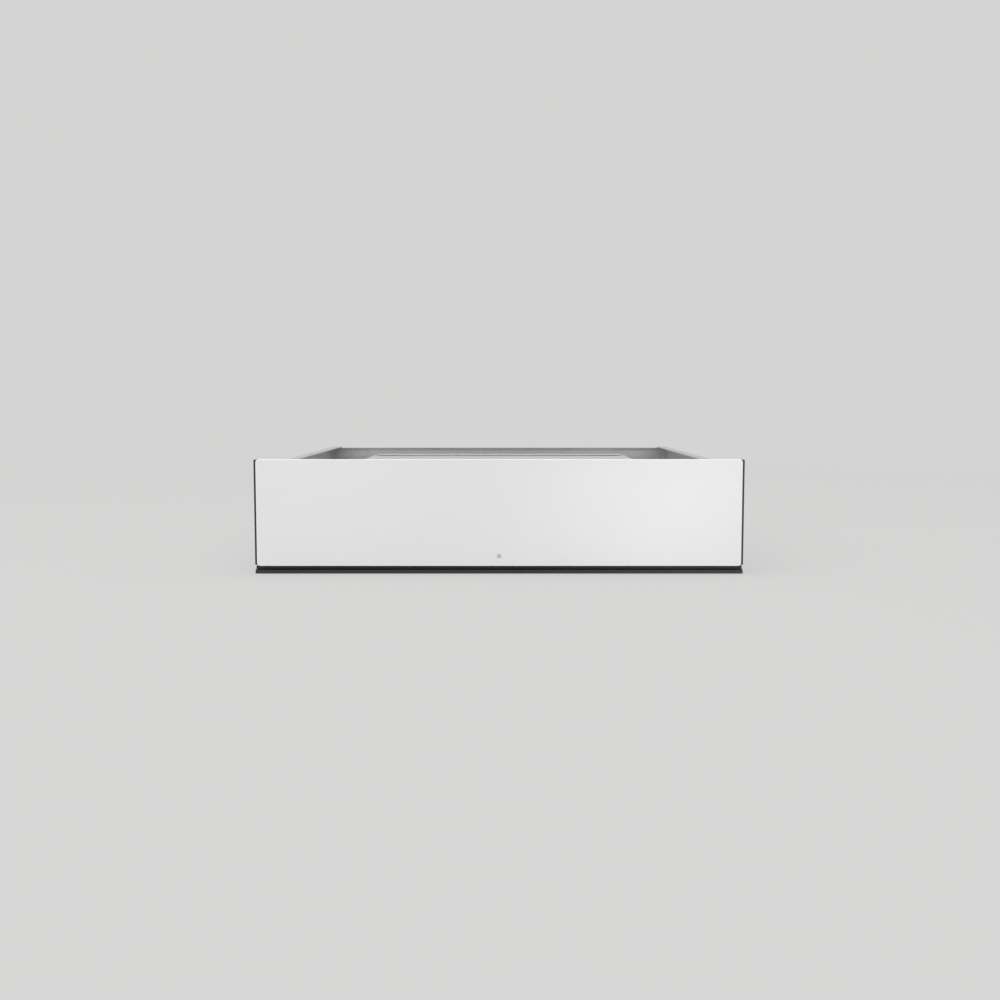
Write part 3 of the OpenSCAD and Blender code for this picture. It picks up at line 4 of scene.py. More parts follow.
import bmesh
import bpy
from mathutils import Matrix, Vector


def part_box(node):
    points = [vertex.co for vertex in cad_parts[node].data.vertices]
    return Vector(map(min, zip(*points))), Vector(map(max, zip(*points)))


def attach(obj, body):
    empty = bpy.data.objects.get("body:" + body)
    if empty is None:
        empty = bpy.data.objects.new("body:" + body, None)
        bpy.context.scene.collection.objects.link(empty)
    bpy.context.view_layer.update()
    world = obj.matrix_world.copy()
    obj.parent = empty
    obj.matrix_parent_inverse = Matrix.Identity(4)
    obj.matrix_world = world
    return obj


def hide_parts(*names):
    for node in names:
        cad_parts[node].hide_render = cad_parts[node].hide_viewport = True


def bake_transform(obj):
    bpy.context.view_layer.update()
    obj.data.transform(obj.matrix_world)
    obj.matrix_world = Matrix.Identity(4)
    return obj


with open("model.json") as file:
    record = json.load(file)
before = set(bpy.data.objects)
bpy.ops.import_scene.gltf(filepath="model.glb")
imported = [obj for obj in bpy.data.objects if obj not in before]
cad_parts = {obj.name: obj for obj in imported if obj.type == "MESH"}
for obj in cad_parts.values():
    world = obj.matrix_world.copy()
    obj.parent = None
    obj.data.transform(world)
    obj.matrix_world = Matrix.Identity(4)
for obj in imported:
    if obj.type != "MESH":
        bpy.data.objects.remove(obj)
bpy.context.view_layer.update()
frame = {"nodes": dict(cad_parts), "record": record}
NODES = frame["nodes"]
BODIES = frame["record"]["behaviour"]["bodies"]
SUBPARTS = frame["record"]["subparts"]
bpy.context.scene.view_settings.view_transform = "Standard"

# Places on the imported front, in metres
FACE_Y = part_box("front_glass")[0].y
GLASS_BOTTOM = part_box("front_glass")[0].z

# Camera, fitted to the edges of the glass in the photograph
PHOTO_WIDTH_PX = 1000
FOCAL_LENGTH_PX = 1151
SENSOR_WIDTH_MM = 36
CAMERA_PLACE = (0.00109, -1.66348, 0.20945)
CAMERA_PITCH = 4.892


def make_camera():
    data = bpy.data.cameras.new("camera")
    data.sensor_width = SENSOR_WIDTH_MM
    data.sensor_fit = "HORIZONTAL"
    data.lens = FOCAL_LENGTH_PX / PHOTO_WIDTH_PX * SENSOR_WIDTH_MM
    data.clip_start = 0.01
    data.clip_end = 50
    camera = bpy.data.objects.new("camera", data)
    bpy.context.scene.collection.objects.link(camera)
    camera.location = CAMERA_PLACE
    camera.rotation_euler = (math.radians(90 - CAMERA_PITCH), 0, 0)
    bpy.context.scene.camera = camera


make_camera()

# Places of the colour sockets on a Mix node
MIX_A, MIX_B, MIX_OUT = 6, 7, 2


def shaded(colour, factor):
    return tuple(min(1.0, c * factor) for c in colour)


# Materials
class Surface:
    """A Principled material with short ways to add nodes."""

    def __init__(self, name):
        self.mat = bpy.data.materials.new(name)
        self.mat.use_nodes = True
        self.tree = self.mat.node_tree
        self.nodes = self.tree.nodes
        self.shader = self.nodes["Principled BSDF"]

    def add(self, kind, **values):
        node = self.nodes.new(kind)
        for key, value in values.items():
            setattr(node, key, value)
        return node

    def link(self, a, b):
        self.tree.links.new(a, b)

    def set(self, **values):
        for key, value in values.items():
            self.shader.inputs[key.replace("_", " ")].default_value = value

    def coords(self, scale=(1, 1, 1)):
        coord = self.add("ShaderNodeTexCoord")
        mapping = self.add("ShaderNodeMapping")
        mapping.inputs["Scale"].default_value = scale
        self.link(coord.outputs["Object"], mapping.inputs["Vector"])
        return mapping.outputs["Vector"]

    def noise(self, vector, scale, detail=3.0, rough=0.5):
        node = self.add("ShaderNodeTexNoise")
        node.inputs["Scale"].default_value = scale
        node.inputs["Detail"].default_value = detail
        node.inputs["Roughness"].default_value = rough
        self.link(vector, node.inputs["Vector"])
        return node.outputs["Fac"]

    def grey_cells(self, vector, scale):
        """Cells of one random grey each."""
        cells = self.add("ShaderNodeTexVoronoi")
        cells.inputs["Scale"].default_value = scale
        self.link(vector, cells.inputs["Vector"])
        grey = self.add("ShaderNodeRGBToBW")
        self.link(cells.outputs["Color"], grey.inputs["Color"])
        return grey.outputs["Val"]

    def bands(self, vector, pitch, axis, distortion):
        """Even lines across one axis."""
        node = self.add("ShaderNodeTexWave", wave_type="BANDS", bands_direction=axis)
        node.inputs["Scale"].default_value = math.pi / 10 / pitch
        node.inputs["Distortion"].default_value = distortion
        self.link(vector, node.inputs["Vector"])
        return node

    def remap(self, fac, low, high, start, end):
        node = self.add("ShaderNodeMapRange")
        node.inputs["From Min"].default_value = start
        node.inputs["From Max"].default_value = end
        node.inputs["To Min"].default_value = low
        node.inputs["To Max"].default_value = high
        self.link(fac, node.inputs["Value"])
        return node.outputs["Result"]

    def math(self, operation, a, b):
        node = self.add("ShaderNodeMath", operation=operation)
        for i, value in enumerate((a, b)):
            if isinstance(value, (int, float)):
                node.inputs[i].default_value = value
            else:
                self.link(value, node.inputs[i])
        return node.outputs["Value"]

    def plus(self, a, b, share):
        return self.math("ADD", a, self.math("MULTIPLY", b, share))

    def blend(self, a, b, share):
        return self.plus(self.math("MULTIPLY", a, 1 - share), b, share)

    def mix(self, fac, a, b):
        node = self.add("ShaderNodeMix", data_type="RGBA")
        self.link(fac, node.inputs["Factor"])
        for socket, value in ((node.inputs[MIX_A], a), (node.inputs[MIX_B], b)):
            if isinstance(value, tuple):
                socket.default_value = (*value, 1)
            else:
                self.link(value, socket)
        return node.outputs[MIX_OUT]

    def colour(self, output):
        self.link(output, self.shader.inputs["Base Color"])

    def tones(self, fac, colour, dark, light, start=0.3, end=0.7):
        """Base colour between a darker and a lighter share of one colour."""
        self.colour(self.mix(self.remap(fac, 0, 1, start, end), shaded(colour, dark), shaded(colour, light)))

    def roughness(self, fac, low, high, start=0.3, end=0.7):
        self.link(self.remap(fac, low, high, start, end), self.shader.inputs["Roughness"])

    def bump(self, height, strength, distance, edge=0.0):
        bump = self.add("ShaderNodeBump")
        bump.inputs["Strength"].default_value = strength
        bump.inputs["Distance"].default_value = distance
        self.link(height, bump.inputs["Height"])
        if edge:
            bevel = self.add("ShaderNodeBevel", samples=4)
            bevel.inputs["Radius"].default_value = edge
            self.link(bevel.outputs["Normal"], bump.inputs["Normal"])
        self.link(bump.outputs["Normal"], self.shader.inputs["Normal"])


def brushed_steel(name, colour, rough, along=0, edge=0.0003):
    """Steel with fine hairlines along one axis."""
    s = Surface(name)
    fine, wide = [1.0, 1.0, 1.0], [1.0, 1.0, 1.0]
    fine[along], wide[along] = 0.012, 0.05
    lines = s.noise(s.coords(fine), 2600, 2.0, 0.6)
    shade = s.blend(lines, s.noise(s.coords(wide), 260, 3.0, 0.55), 0.5)
    cloud = s.noise(s.coords(), 9, 2.0)
    s.tones(shade, colour, 0.93, 1.06)
    s.roughness(s.plus(shade, cloud, 0.4), rough - 0.07, rough + 0.09, 0.4, 1.0)
    s.bump(lines, 0.08, 0.00004, edge)
    s.set(Metallic=1.0)
    return s.mat


def pressed_steel(name, colour, rough):
    """Satin stainless steel of a pressed chamber, without a brushed direction."""
    s = Surface(name)
    grain = s.noise(s.coords(), 1900, 3.0, 0.6)
    cloud = s.noise(s.coords(), 22, 3.0, 0.5)
    s.tones(cloud, colour, 0.97, 1.02)
    s.roughness(s.plus(grain, cloud, 0.3), rough - 0.05, rough + 0.06, 0.4, 0.9)
    s.bump(grain, 0.1, 0.00003)
    s.set(Metallic=1.0)
    return s.mat


def galvanised(name, colour, rough, scale=210, edge=0.0003):
    """Zinc coated sheet with a fine spangle of large and small cells."""
    s = Surface(name)
    where = s.coords()
    warp = s.noise(where, 60, 2.0)
    spangle = s.blend(s.grey_cells(where, scale), s.grey_cells(where, scale * 2.7), 0.4)
    s.tones(spangle, colour, 0.93, 1.06, 0.25, 0.75)
    s.roughness(s.plus(spangle, warp, 0.5), rough - 0.08, rough + 0.1, 0.4, 1.1)
    s.bump(s.noise(where, 900, 2.0), 0.08, 0.00004, edge)
    s.set(Metallic=0.95)
    return s.mat


def cast_metal(name, colour, rough, edge=0.0004):
    """Die cast alloy with a fine open skin."""
    s = Surface(name)
    where = s.coords()
    skin = s.noise(where, 1100, 4.0, 0.65)
    s.tones(s.noise(where, 35, 3.0), colour, 0.86, 1.08)
    s.roughness(skin, rough - 0.08, rough + 0.12)
    s.bump(skin, 0.35, 0.00008, edge)
    s.set(Metallic=0.9)
    return s.mat


def bright_metal(name, colour, rough, edge=0.0002):
    """Plated or polished metal of small parts."""
    s = Surface(name)
    where = s.coords()
    fine = s.noise(where, 2400, 2.0)
    s.tones(s.noise(where, 130, 3.0), colour, 0.93, 1.04)
    s.roughness(fine, rough - 0.05, rough + 0.07)
    s.bump(fine, 0.05, 0.00003, edge)
    s.set(Metallic=1.0)
    return s.mat


def moulded(name, colour, rough, grain=700, height=0.00006, edge=0.0004, **extra):
    """Plastic, rubber, paint, varnish or ink with an eroded texture."""
    s = Surface(name)
    where = s.coords()
    erosion = s.noise(where, grain, 3.0, 0.6)
    cloud = s.noise(where, 18, 2.0)
    s.tones(cloud, colour, 0.88, 1.1)
    s.roughness(s.plus(erosion, cloud, 0.5), rough - 0.06, rough + 0.08, 0.45, 1.05)
    s.bump(erosion, 0.3, height, edge)
    s.set(**extra)
    return s.mat


def enamelled_glass(name, colour, rough=0.3):
    """Glass that shows one colour under a gloss: an enamelled face, or a ground or polished edge."""
    s = Surface(name)
    where = s.coords()
    shade = s.blend(s.noise(where, 7, 2.0), s.noise(where, 1500, 2.0), 0.15)
    s.tones(shade, colour, 0.992, 1.008)
    s.roughness(shade, rough - 0.02, rough + 0.02)
    s.set(Coat_Weight=1.0, Coat_Roughness=0.02, Coat_IOR=1.52)
    return s.mat


def clear_glass(name, tint, rough=0.01):
    """Clear float glass with a faint green body tint and slight surface waves."""
    s = Surface(name)
    where = s.coords()
    wave = s.noise(where, 14, 1.0)
    s.tones(wave, tint, 1.0, 1.01)
    s.roughness(s.noise(where, 45, 3.0), rough, rough + 0.02, 0.45, 0.75)
    s.bump(wave, 0.02, 0.0003)
    s.set(Transmission_Weight=1.0, IOR=1.5)
    return s.mat


def circuit_board(name):
    """Green solder mask over faint copper tracks."""
    s = Surface(name)
    where = s.coords()
    tracks = s.add("ShaderNodeTexBrick", offset=0.35)
    for socket, value in (("Scale", 90), ("Mortar Size", 0.03), ("Color1", (0.010, 0.10, 0.045, 1)),
                          ("Color2", (0.012, 0.12, 0.055, 1)), ("Mortar", (0.03, 0.2, 0.09, 1))):
        tracks.inputs[socket].default_value = value
    s.link(where, tracks.inputs["Vector"])
    cloud = s.remap(s.noise(where, 300, 2.0), 0, 0.35, 0.3, 0.7)
    s.colour(s.mix(cloud, tracks.outputs["Color"], (0.006, 0.07, 0.03)))
    s.roughness(s.noise(where, 900, 2.0), 0.3, 0.42)
    s.bump(tracks.outputs["Fac"], 0.15, 0.00003)
    s.set(Coat_Weight=0.5, Coat_Roughness=0.15)
    return s.mat


def banded(name, colour, dark, pitch, axis, rough, metallic=0.0, coat=0.0):
    """Fine even lines across one axis: stacked sheets or layers of wire."""
    s = Surface(name)
    where = s.coords()
    wave = s.bands(where, pitch, axis, 0.6)
    wave.inputs["Detail Scale"].default_value = 2.0
    cloud = s.noise(where, 45, 3.0)
    lines = s.mix(s.remap(wave.outputs["Fac"], 0, 1, 0.1, 0.6), dark, colour)
    s.colour(s.mix(s.remap(cloud, 0, 0.35, 0.3, 0.7), lines, shaded(colour, 0.75)))
    s.roughness(cloud, rough - 0.05, rough + 0.1)
    s.bump(wave.outputs["Fac"], 0.5, pitch * 0.3)
    s.set(Metallic=metallic, Coat_Weight=coat, Coat_Roughness=0.2)
    return s.mat


def woven_tape(name, colour, pitch, rough):
    """Resin coated glass cloth: two sets of threads that cross."""
    s = Surface(name)
    where = s.coords()
    weave = s.math("MAXIMUM", *(s.bands(where, pitch, axis, 0.3).outputs["Fac"] for axis in ("X", "Y")))
    s.tones(weave, colour, 0.6, 1.0, 0.2, 0.9)
    s.roughness(s.noise(where, 60, 3.0), rough - 0.06, rough + 0.08)
    s.bump(weave, 0.4, pitch * 0.15)
    return s.mat


MATS = {
    "white_glass": enamelled_glass("white_enamelled_glass", (0.772, 0.774, 0.775)),
    # Edge colour whiter than the face: the ground edge's own pale tone, raised further as a painted highlight
    # for the bright top arris line
    "glass_edge": enamelled_glass("ground_edge_and_painted_highlight", (0.90, 0.915, 0.91), 0.25),
    "black_glass": enamelled_glass("black_enamelled_glass", (0.012, 0.012, 0.014), 0.12),
    "clear_glass": clear_glass("clear_lid_glass", (0.93, 0.965, 0.95)),
    "lid_edge": enamelled_glass("polished_lid_edge", (0.50, 0.66, 0.60), 0.12),
    "dark_trim": moulded("dark_powder_coat", (0.024, 0.0248, 0.0235), 0.42, 1300, 0.00004,
                         Metallic=0.0, Specular_IOR_Level=0.45),
    "galvanised_steel": galvanised("galvanised_sheet", (0.57, 0.575, 0.58), 0.42),
    "slide_steel": brushed_steel("zinc_plated_slide", (0.64, 0.645, 0.65), 0.3, 1, 0.0002),
    "stainless_steel": brushed_steel("brushed_stainless", (0.55, 0.545, 0.532), 0.3),
    "pressed_steel": pressed_steel("pressed_stainless", (0.57, 0.566, 0.554), 0.26),
    "bright_steel": bright_metal("bright_steel_parts", (0.70, 0.70, 0.69), 0.2),
    "brass": bright_metal("brass_spigots", (0.78, 0.60, 0.30), 0.25),
    "cast_alloy": cast_metal("cast_alloy_skin", (0.52, 0.53, 0.54), 0.42),
    "transformer_iron": moulded("varnished_laminations", (0.05, 0.05, 0.052), 0.35, 1800, 0.00005, 0.0003),
    "iron_sheets": banded("stacked_iron_sheets", (0.10, 0.10, 0.105), (0.03, 0.03, 0.032), 0.0006, "Y",
                          0.4, 0.6),
    "wire_layers": banded("layers_of_winding_wire", (0.62, 0.27, 0.12), (0.25, 0.09, 0.04), 0.0008, "Z",
                          0.3, 0.7, 0.4),
    "heating_metal": woven_tape("coated_heating_band", (0.40, 0.24, 0.12), 0.0006, 0.4),
    "capacitor_sleeve": moulded("capacitor_sleeve", (0.02, 0.025, 0.05), 0.3, 1500, 0.00002),
    "black_plastic": moulded("black_moulded_plastic", (0.022, 0.022, 0.024), 0.45),
    "grey_plastic": moulded("grey_moulded_plastic", (0.20, 0.205, 0.21), 0.5),
    "white_plastic": moulded("white_moulded_plastic", (0.72, 0.72, 0.70), 0.42),
    "board_green": circuit_board("green_circuit_board"),
    "black_rubber": moulded("black_rubber_skin", (0.018, 0.018, 0.018), 0.62, 900, 0.00008),
    "grey_silicone": moulded("grey_silicone_skin", (0.33, 0.335, 0.335), 0.46, 800, 0.00004,
                             Subsurface_Weight=0.15, Subsurface_Scale=0.003),
    "icon_grey": moulded("printed_icon_grey", (0.055, 0.055, 0.057), 0.4, 1200, 0.00001, 0.0),
    "icon_white": moulded("printed_icon_white", (0.75, 0.76, 0.77), 0.4, 1200, 0.00001, 0.0),
}

for node in NODES.values():
    for i, old in enumerate(node.data.materials):
        node.data.materials[i] = MATS[old.name.split(".")[0]]


# Mesh helpers
def new_object(name, bm, mats, body, stands_for=(), smooth=True, sharp=40):
    """An object that rides a body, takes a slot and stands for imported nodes."""
    mesh = bpy.data.meshes.new(name)
    bm.normal_update()
    bm.to_mesh(mesh)
    bm.free()
    for mat in mats:
        mesh.materials.append(MATS[mat])
    obj = bpy.data.objects.new(name, mesh)
    bpy.context.scene.collection.objects.link(obj)
    if smooth:
        mesh.polygons.foreach_set("use_smooth", [True] * len(mesh.polygons))
        mesh.set_sharp_from_angle(angle=math.radians(sharp))
    if body:
        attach(obj, body)
    if stands_for:
        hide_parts(*stands_for)
    return obj


def even_shading(obj, keep_sharp=True):
    obj.modifiers.new("weighted", "WEIGHTED_NORMAL").keep_sharp = keep_sharp


def body_of(node):
    return next(body for body, members in BODIES.items() if node in members)


def slot_of(node):
    return next(p["material_slot"] for p in SUBPARTS if p["node"] == node)


def face_out(bm):
    bmesh.ops.recalc_face_normals(bm, faces=bm.faces)


def soften(bm, width, segments=2):
    """Rounds the sharp edges of a mesh."""
    same_place, flat, sharp = 2e-6, math.radians(0.4), math.radians(30)
    bmesh.ops.remove_doubles(bm, verts=bm.verts, dist=same_place)
    bmesh.ops.dissolve_limit(bm, angle_limit=flat, verts=bm.verts, edges=bm.edges)
    edges = [e for e in bm.edges if len(e.link_faces) == 2 and e.calc_face_angle(0) > sharp]
    bmesh.ops.bevel(bm, geom=edges, offset=width, offset_type="OFFSET", segments=segments, profile=0.5,
                    affect="EDGES", clamp_overlap=True)


def refined(node, width, segments=2, mats=None, pick=None, keep=None, add=None):
    """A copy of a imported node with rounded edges, which stands for it.

    pick gives a face's material by its centre in mm, keep says which corners stay, add builds more onto it.
    """
    bm = bmesh.new()
    bm.from_mesh(NODES[node].data)
    if keep:
        bmesh.ops.delete(bm, geom=[v for v in bm.verts if not keep(v.co * 1000)], context="VERTS")
    soften(bm, width, segments)
    for face in bm.faces:
        face.material_index = pick(face.calc_center_median() * 1000) if pick else 0
    if add:
        add(bm)
        face_out(bm)
    obj = new_object(node + "_formed", bm, mats or [slot_of(node)], body_of(node),
                     stands_for=(node,))
    even_shading(obj)


def rounded_loop(w, d, r, z, centre=(0, 0), steps=8):
    """Points of a rounded rectangle, anticlockwise, at height z."""
    points = []
    for cx, cy, start in ((1, 1, 0), (-1, 1, 90), (-1, -1, 180), (1, -1, 270)):
        for i in range(steps + 1):
            a = math.radians(start + 90 * i / steps)
            points.append(Vector((centre[0] + cx * (w / 2 - r) + r * math.cos(a),
                                  centre[1] + cy * (d / 2 - r) + r * math.sin(a), z)))
    return points


def loft(bm, rings, cap_start=True, cap_end=True, mat=0):
    """Faces between closed rings of points, one after another."""
    rows = [[bm.verts.new(p) for p in ring] for ring in rings]
    count = len(rows[0])
    faces = []
    for a, b in zip(rows, rows[1:]):
        for i in range(count):
            j = (i + 1) % count
            faces.append(bm.faces.new((a[i], a[j], b[j], b[i])))
    if cap_start:
        faces.append(bm.faces.new(rows[0][::-1]))
    if cap_end:
        faces.append(bm.faces.new(rows[-1]))
    for face in faces:
        face.material_index = mat


def paint_caps(bm, mat):
    """Another material for the flat ends of a loft."""
    for face in bm.faces:
        if len(face.verts) > 4:
            face.material_index = mat


def full_turn(count):
    return [2 * math.pi * k / count for k in range(count)]


def sweep(bm, path, radius, sides):
    """A round tube along a path."""
    last = len(path) - 1
    tangents = [(path[min(i + 1, last)] - path[max(i - 1, 0)]).normalized() for i in range(last + 1)]
    normal = tangents[0].orthogonal().normalized()
    rings = []
    for place, tangent in zip(path, tangents):
        normal = (normal - normal.dot(tangent) * tangent).normalized()
        side = tangent.cross(normal)
        rings.append([place + radius * (math.cos(a) * normal + math.sin(a) * side) for a in full_turn(sides)])
    loft(bm, rings)


def turned(bm, centre, axis, profile, count, mat=0):
    """A turned form: profile is a list of distance along the axis and radius."""
    axis = Vector(axis).normalized()
    u = axis.orthogonal().normalized()
    v = axis.cross(u)
    rings = [[Vector(centre) + axis * s + r * (math.cos(a) * u + math.sin(a) * v) for a in full_turn(count)]
             for s, r in profile]
    loft(bm, rings, mat=mat)


def catmull(points, steps):
    """A smooth curve through points."""
    pts = [points[0] * 2 - points[1]] + points + [points[-1] * 2 - points[-2]]
    out = []
    for i in range(1, len(pts) - 2):
        a, b, c, d = pts[i - 1:i + 3]
        for k in range(steps):
            s = k / steps
            out.append(0.5 * (2 * b + (c - a) * s + (2 * a - 5 * b + 4 * c - d) * s * s
                              + (3 * b - a - 3 * c + d) * s ** 3))
    out.append(points[-1])
    return out


def mm(*values):
    return Vector([v / 1000 for v in values])


# Front: the glass with its ground edge, and the mark of the touch point
def make_front_glass():
    lo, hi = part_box("front_glass")
    w, h = hi.x - lo.x, hi.z - lo.z
    middle = (lo.z + hi.z) / 2
    corner_r, arris = 0.004, 0.0006

    def ring(y, inset):
        loop = rounded_loop(w - 2 * inset, h - 2 * inset, corner_r - inset, 0, steps=10)
        return [Vector((p.x, y, middle + p.y)) for p in loop]

    bm = bmesh.new()
    # Edge faces take the whiter edge colour, which holds a painted highlight; the flat faces take the white
    # enamel
    loft(bm, [ring(lo.y, arris + 0.0002), ring(lo.y + 0.00012, arris * 0.5), ring(lo.y + arris, 0),
              ring(hi.y - arris, 0), ring(hi.y, arris)], mat=1)
    paint_caps(bm, 0)
    even_shading(new_object("front_glass_plate", bm, ["white_glass", "glass_edge"], "drawer", sharp=35,
                            stands_for=("front_glass",)), keep_sharp=False)


def flat_ring(bm, centre, inner, outer, a0, a1, y, depth, steps=28):
    """A thin ring or part of one, standing on a face that looks along -Y."""
    rows = []
    for i in range(steps + 1):
        a = math.radians(a0 + (a1 - a0) * i / steps)
        c, s = math.cos(a), math.sin(a)
        rows.append([Vector((centre[0] + r * c, yy, centre[1] + r * s))
                     for r, yy in ((inner, y), (outer, y), (outer, y - depth), (inner, y - depth))])
    has_ends = a1 - a0 < 360
    loft(bm, rows, has_ends, has_ends)


def make_touch_mark():
    x, z = 0.0, GLASS_BOTTOM + 0.0119
    ring_inner, ring_outer = 0.0014, 0.0021
    bar_w, bar_h, bar_rise, ink = 0.0007, 0.0024, 0.0018, 0.00004
    bm = bmesh.new()
    flat_ring(bm, (x, z), ring_inner, ring_outer, 120, 420, FACE_Y, ink)
    bar = bmesh.ops.create_cube(bm, size=1)
    bmesh.ops.scale(bm, vec=(bar_w, ink, bar_h), verts=bar["verts"])
    bmesh.ops.translate(bm, vec=(x, FACE_Y - ink / 2, z + bar_rise), verts=bar["verts"])
    new_object("touch_mark", bm, ["icon_grey"], "drawer", smooth=False)


make_front_glass()
make_touch_mark()


# Vacuum chamber: one smooth pressed form with its rim
def make_chamber():
    lo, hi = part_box("chamber_tub")
    chamber_w, chamber_l, corner_r, fillet = 0.350, 0.280, 0.030, 0.009
    sheet, bend, rim_out, rim_edge = 0.0012, 0.0018, 0.013, 0.0004
    floor_z, rim_z, outer_fillet = lo.z + sheet, hi.z, fillet + sheet
    rim_w, rim_l, rim_r = hi.x - lo.x, hi.y - lo.y, corner_r + rim_out
    centre = (0, (lo.y + hi.y) / 2)
    steps = 10

    def wall(out, z):
        return rounded_loop(chamber_w + 2 * out, chamber_l + 2 * out, corner_r + out, z, centre, steps)

    def rim(inset, z):
        return rounded_loop(rim_w - 2 * inset, rim_l - 2 * inset, rim_r - inset, z, centre, steps)

    inner = []
    outer = []
    for i in range(9):
        a = math.radians(90 * i / 8)
        inner.append(wall(-fillet * (1 - math.sin(a)), floor_z + fillet * (1 - math.cos(a))))
        outer.append(wall(sheet - outer_fillet * (1 - math.sin(a)), lo.z + outer_fillet * (1 - math.cos(a))))
    top = []
    for i in range(6):
        a = math.radians(90 * i / 5)
        top.append(wall(bend * (1 - math.cos(a)), rim_z - bend + bend * math.sin(a)))
    edge = [rim(rim_edge, rim_z), rim(0, rim_z - rim_edge), rim(0, rim_z - sheet + 0.0002),
            rim(0.0003, rim_z - sheet)]
    under = wall(sheet, rim_z - sheet)
    bm = bmesh.new()
    loft(bm, inner + top + edge + [under] + outer[::-1])
    face_out(bm)
    even_shading(new_object("chamber_pressing", bm, ["pressed_steel"], "drawer", sharp=50,
                            stands_for=("chamber_tub",)))


make_chamber()

# Pieces that keep their packed form, and the radius of their edges
ROUNDED = (
    ("front_carrier", 0.0006), ("lower_trim", 0.0005), ("control_glass", 0.0006), ("lid_grip", 0.0004),
    ("lid_hinge_rail", 0.0004), ("hinge_brackets", 0.0003), ("front_cross_rail", 0.0003),
    ("cable_gland", 0.0004), ("strike_plate", 0.0003), ("heating_band", 0.0001), ("hinge_pins", 0.0004),
    ("carcass_floor", 0.0003), ("carcass_left_wall", 0.00025), ("carcass_right_wall", 0.00025),
    ("carcass_rear_wall", 0.00025), ("drawer_tray", 0.00025), ("drawer_left_side", 0.00025),
    ("drawer_right_side", 0.00025), ("deck_plate", 0.00025), ("outer_slides", 0.0005),
    ("inner_slides", 0.0005), ("lift_cylinders", 0.0006), ("board_spacers", 0.0003),
    ("terminal_block", 0.0005), ("pump_bracket", 0.0004), ("pump_motor", 0.0004), ("pump_end_bell", 0.0006),
    ("pump_stage", 0.0004), ("pump_stage_cover", 0.0005), ("fan_frame", 0.0004), ("fan_rotor", 0.0002),
    ("carcass_screws", 0.00025), ("drawer_screws", 0.00025),
)
for node, edge_r in ROUNDED:
    refined(node, edge_r)


# Middle slide members: rolled raceways, a pressed panel and punched holes
def cut_out(bm, tool):
    """The mesh with the form of the tool cut out of it."""
    pair = []
    for source in (bm, tool):
        mesh = bpy.data.meshes.new("cutting")
        source.to_mesh(mesh)
        source.free()
        pair.append(bpy.data.objects.new("cutting", mesh))
        bpy.context.scene.collection.objects.link(pair[-1])
    cutting = pair[0].modifiers.new("cut", "BOOLEAN")
    cutting.operation = "DIFFERENCE"
    cutting.solver = "EXACT"
    cutting.object = pair[1]
    done = bmesh.new()
    done.from_object(pair[0], bpy.context.evaluated_depsgraph_get())
    for obj in pair:
        mesh = obj.data
        bpy.data.objects.remove(obj)
        bpy.data.meshes.remove(mesh)
    return done


def make_middle_slide(node, side):
    lo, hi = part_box(node)
    middle = (lo.z + hi.z) / 2
    wall_face = hi.x if side > 0 else lo.x
    # Upper half of the section in mm: depth from the face at the wall, and height above the middle
    half = [(0.3, 0), (0.3, 10.8), (0.22, 11.5), (0.06, 12.1), (0, 12.7), (0, 15.1), (0.22, 15.5),
            (0.33, 16.1), (0.22, 16.7), (0, 17.1), (0, 17.7), (0.15, 18.15), (0.45, 18.42), (0.8, 18.5),
            (1.1, 18.4), (1.2, 18.15), (1.2, 17.9), (1.32, 17.45), (1.65, 17.17), (2.1, 17.1), (7.3, 17.1),
            (7.9, 16.95), (8.2, 16.6), (8.3, 16.1), (8.3, 14.6), (8.15, 14.4), (7.25, 14.4), (7.1, 14.6),
            (7.1, 15.4), (6.95, 15.75), (6.6, 15.9), (1.9, 15.9), (1.4, 15.75), (1.2, 15.3), (1.2, 12.7),
            (1.26, 12.1), (1.42, 11.5), (1.5, 10.8), (1.5, 0)]
    outline = half + [(depth, -height) for depth, height in half[-2:0:-1]]

    def section(y):
        return [Vector((wall_face - side * depth / 1000, y, middle + height / 1000))
                for depth, height in outline]

    bm = bmesh.new()
    loft(bm, [section(lo.y), section(hi.y)])
    face_out(bm)

    hole, hole_inset, slot_l, slot_h = 0.0065, 0.016, 0.034, 0.011
    least_side, through = 0.00001, (-0.001, 0.0025)
    length = hi.y - lo.y
    cuts = [(hole, hole, at) for at in (hole_inset, length / 2, length - hole_inset)]
    cuts += [(slot_l, slot_h, length * share) for share in (0.14, 0.32, 0.68, 0.86)]
    tool = bmesh.new()
    for w, h, at in cuts:
        loop = rounded_loop(w, h, h / 2 - least_side, 0, (lo.y + at, middle), 6)
        loft(tool, [[Vector((wall_face - side * depth, p.x, p.y)) for p in loop] for depth in through])
    face_out(tool)
    even_shading(new_object(node + "_formed", cut_out(bm, tool), ["slide_steel"], body_of(node),
                            stands_for=(node,)))


make_middle_slide("left_middle_slide", -1)
make_middle_slide("right_middle_slide", 1)


# Pieces of several materials, told apart by the place of each face in mm
NEAR = 0.01


def box_mm(node):
    return [corner * 1000 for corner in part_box(node)]


def make_seal_bar():
    bar_h = 20
    bar_bottom = box_mm("seal_bar")[1].z - bar_h
    refined("seal_bar", 0.0005, mats=["cast_alloy", "bright_steel"],
            pick=lambda c: int(c.z < bar_bottom - NEAR))


def make_suction_cover():
    rim_w, cover_t = 14, 1.5
    wall_y = box_mm("chamber_tub")[1].y - rim_w
    refined("suction_cover", 0.0003, mats=["stainless_steel", "brass"],
            pick=lambda c: int(c.y > wall_y + cover_t))


def make_latch_plunger():
    magnet_t = 3
    magnet_y = box_mm("latch_plunger")[0].y + magnet_t
    refined("latch_plunger", 0.0004, mats=["black_plastic", "bright_steel"],
            pick=lambda c: int(c.y < magnet_y))


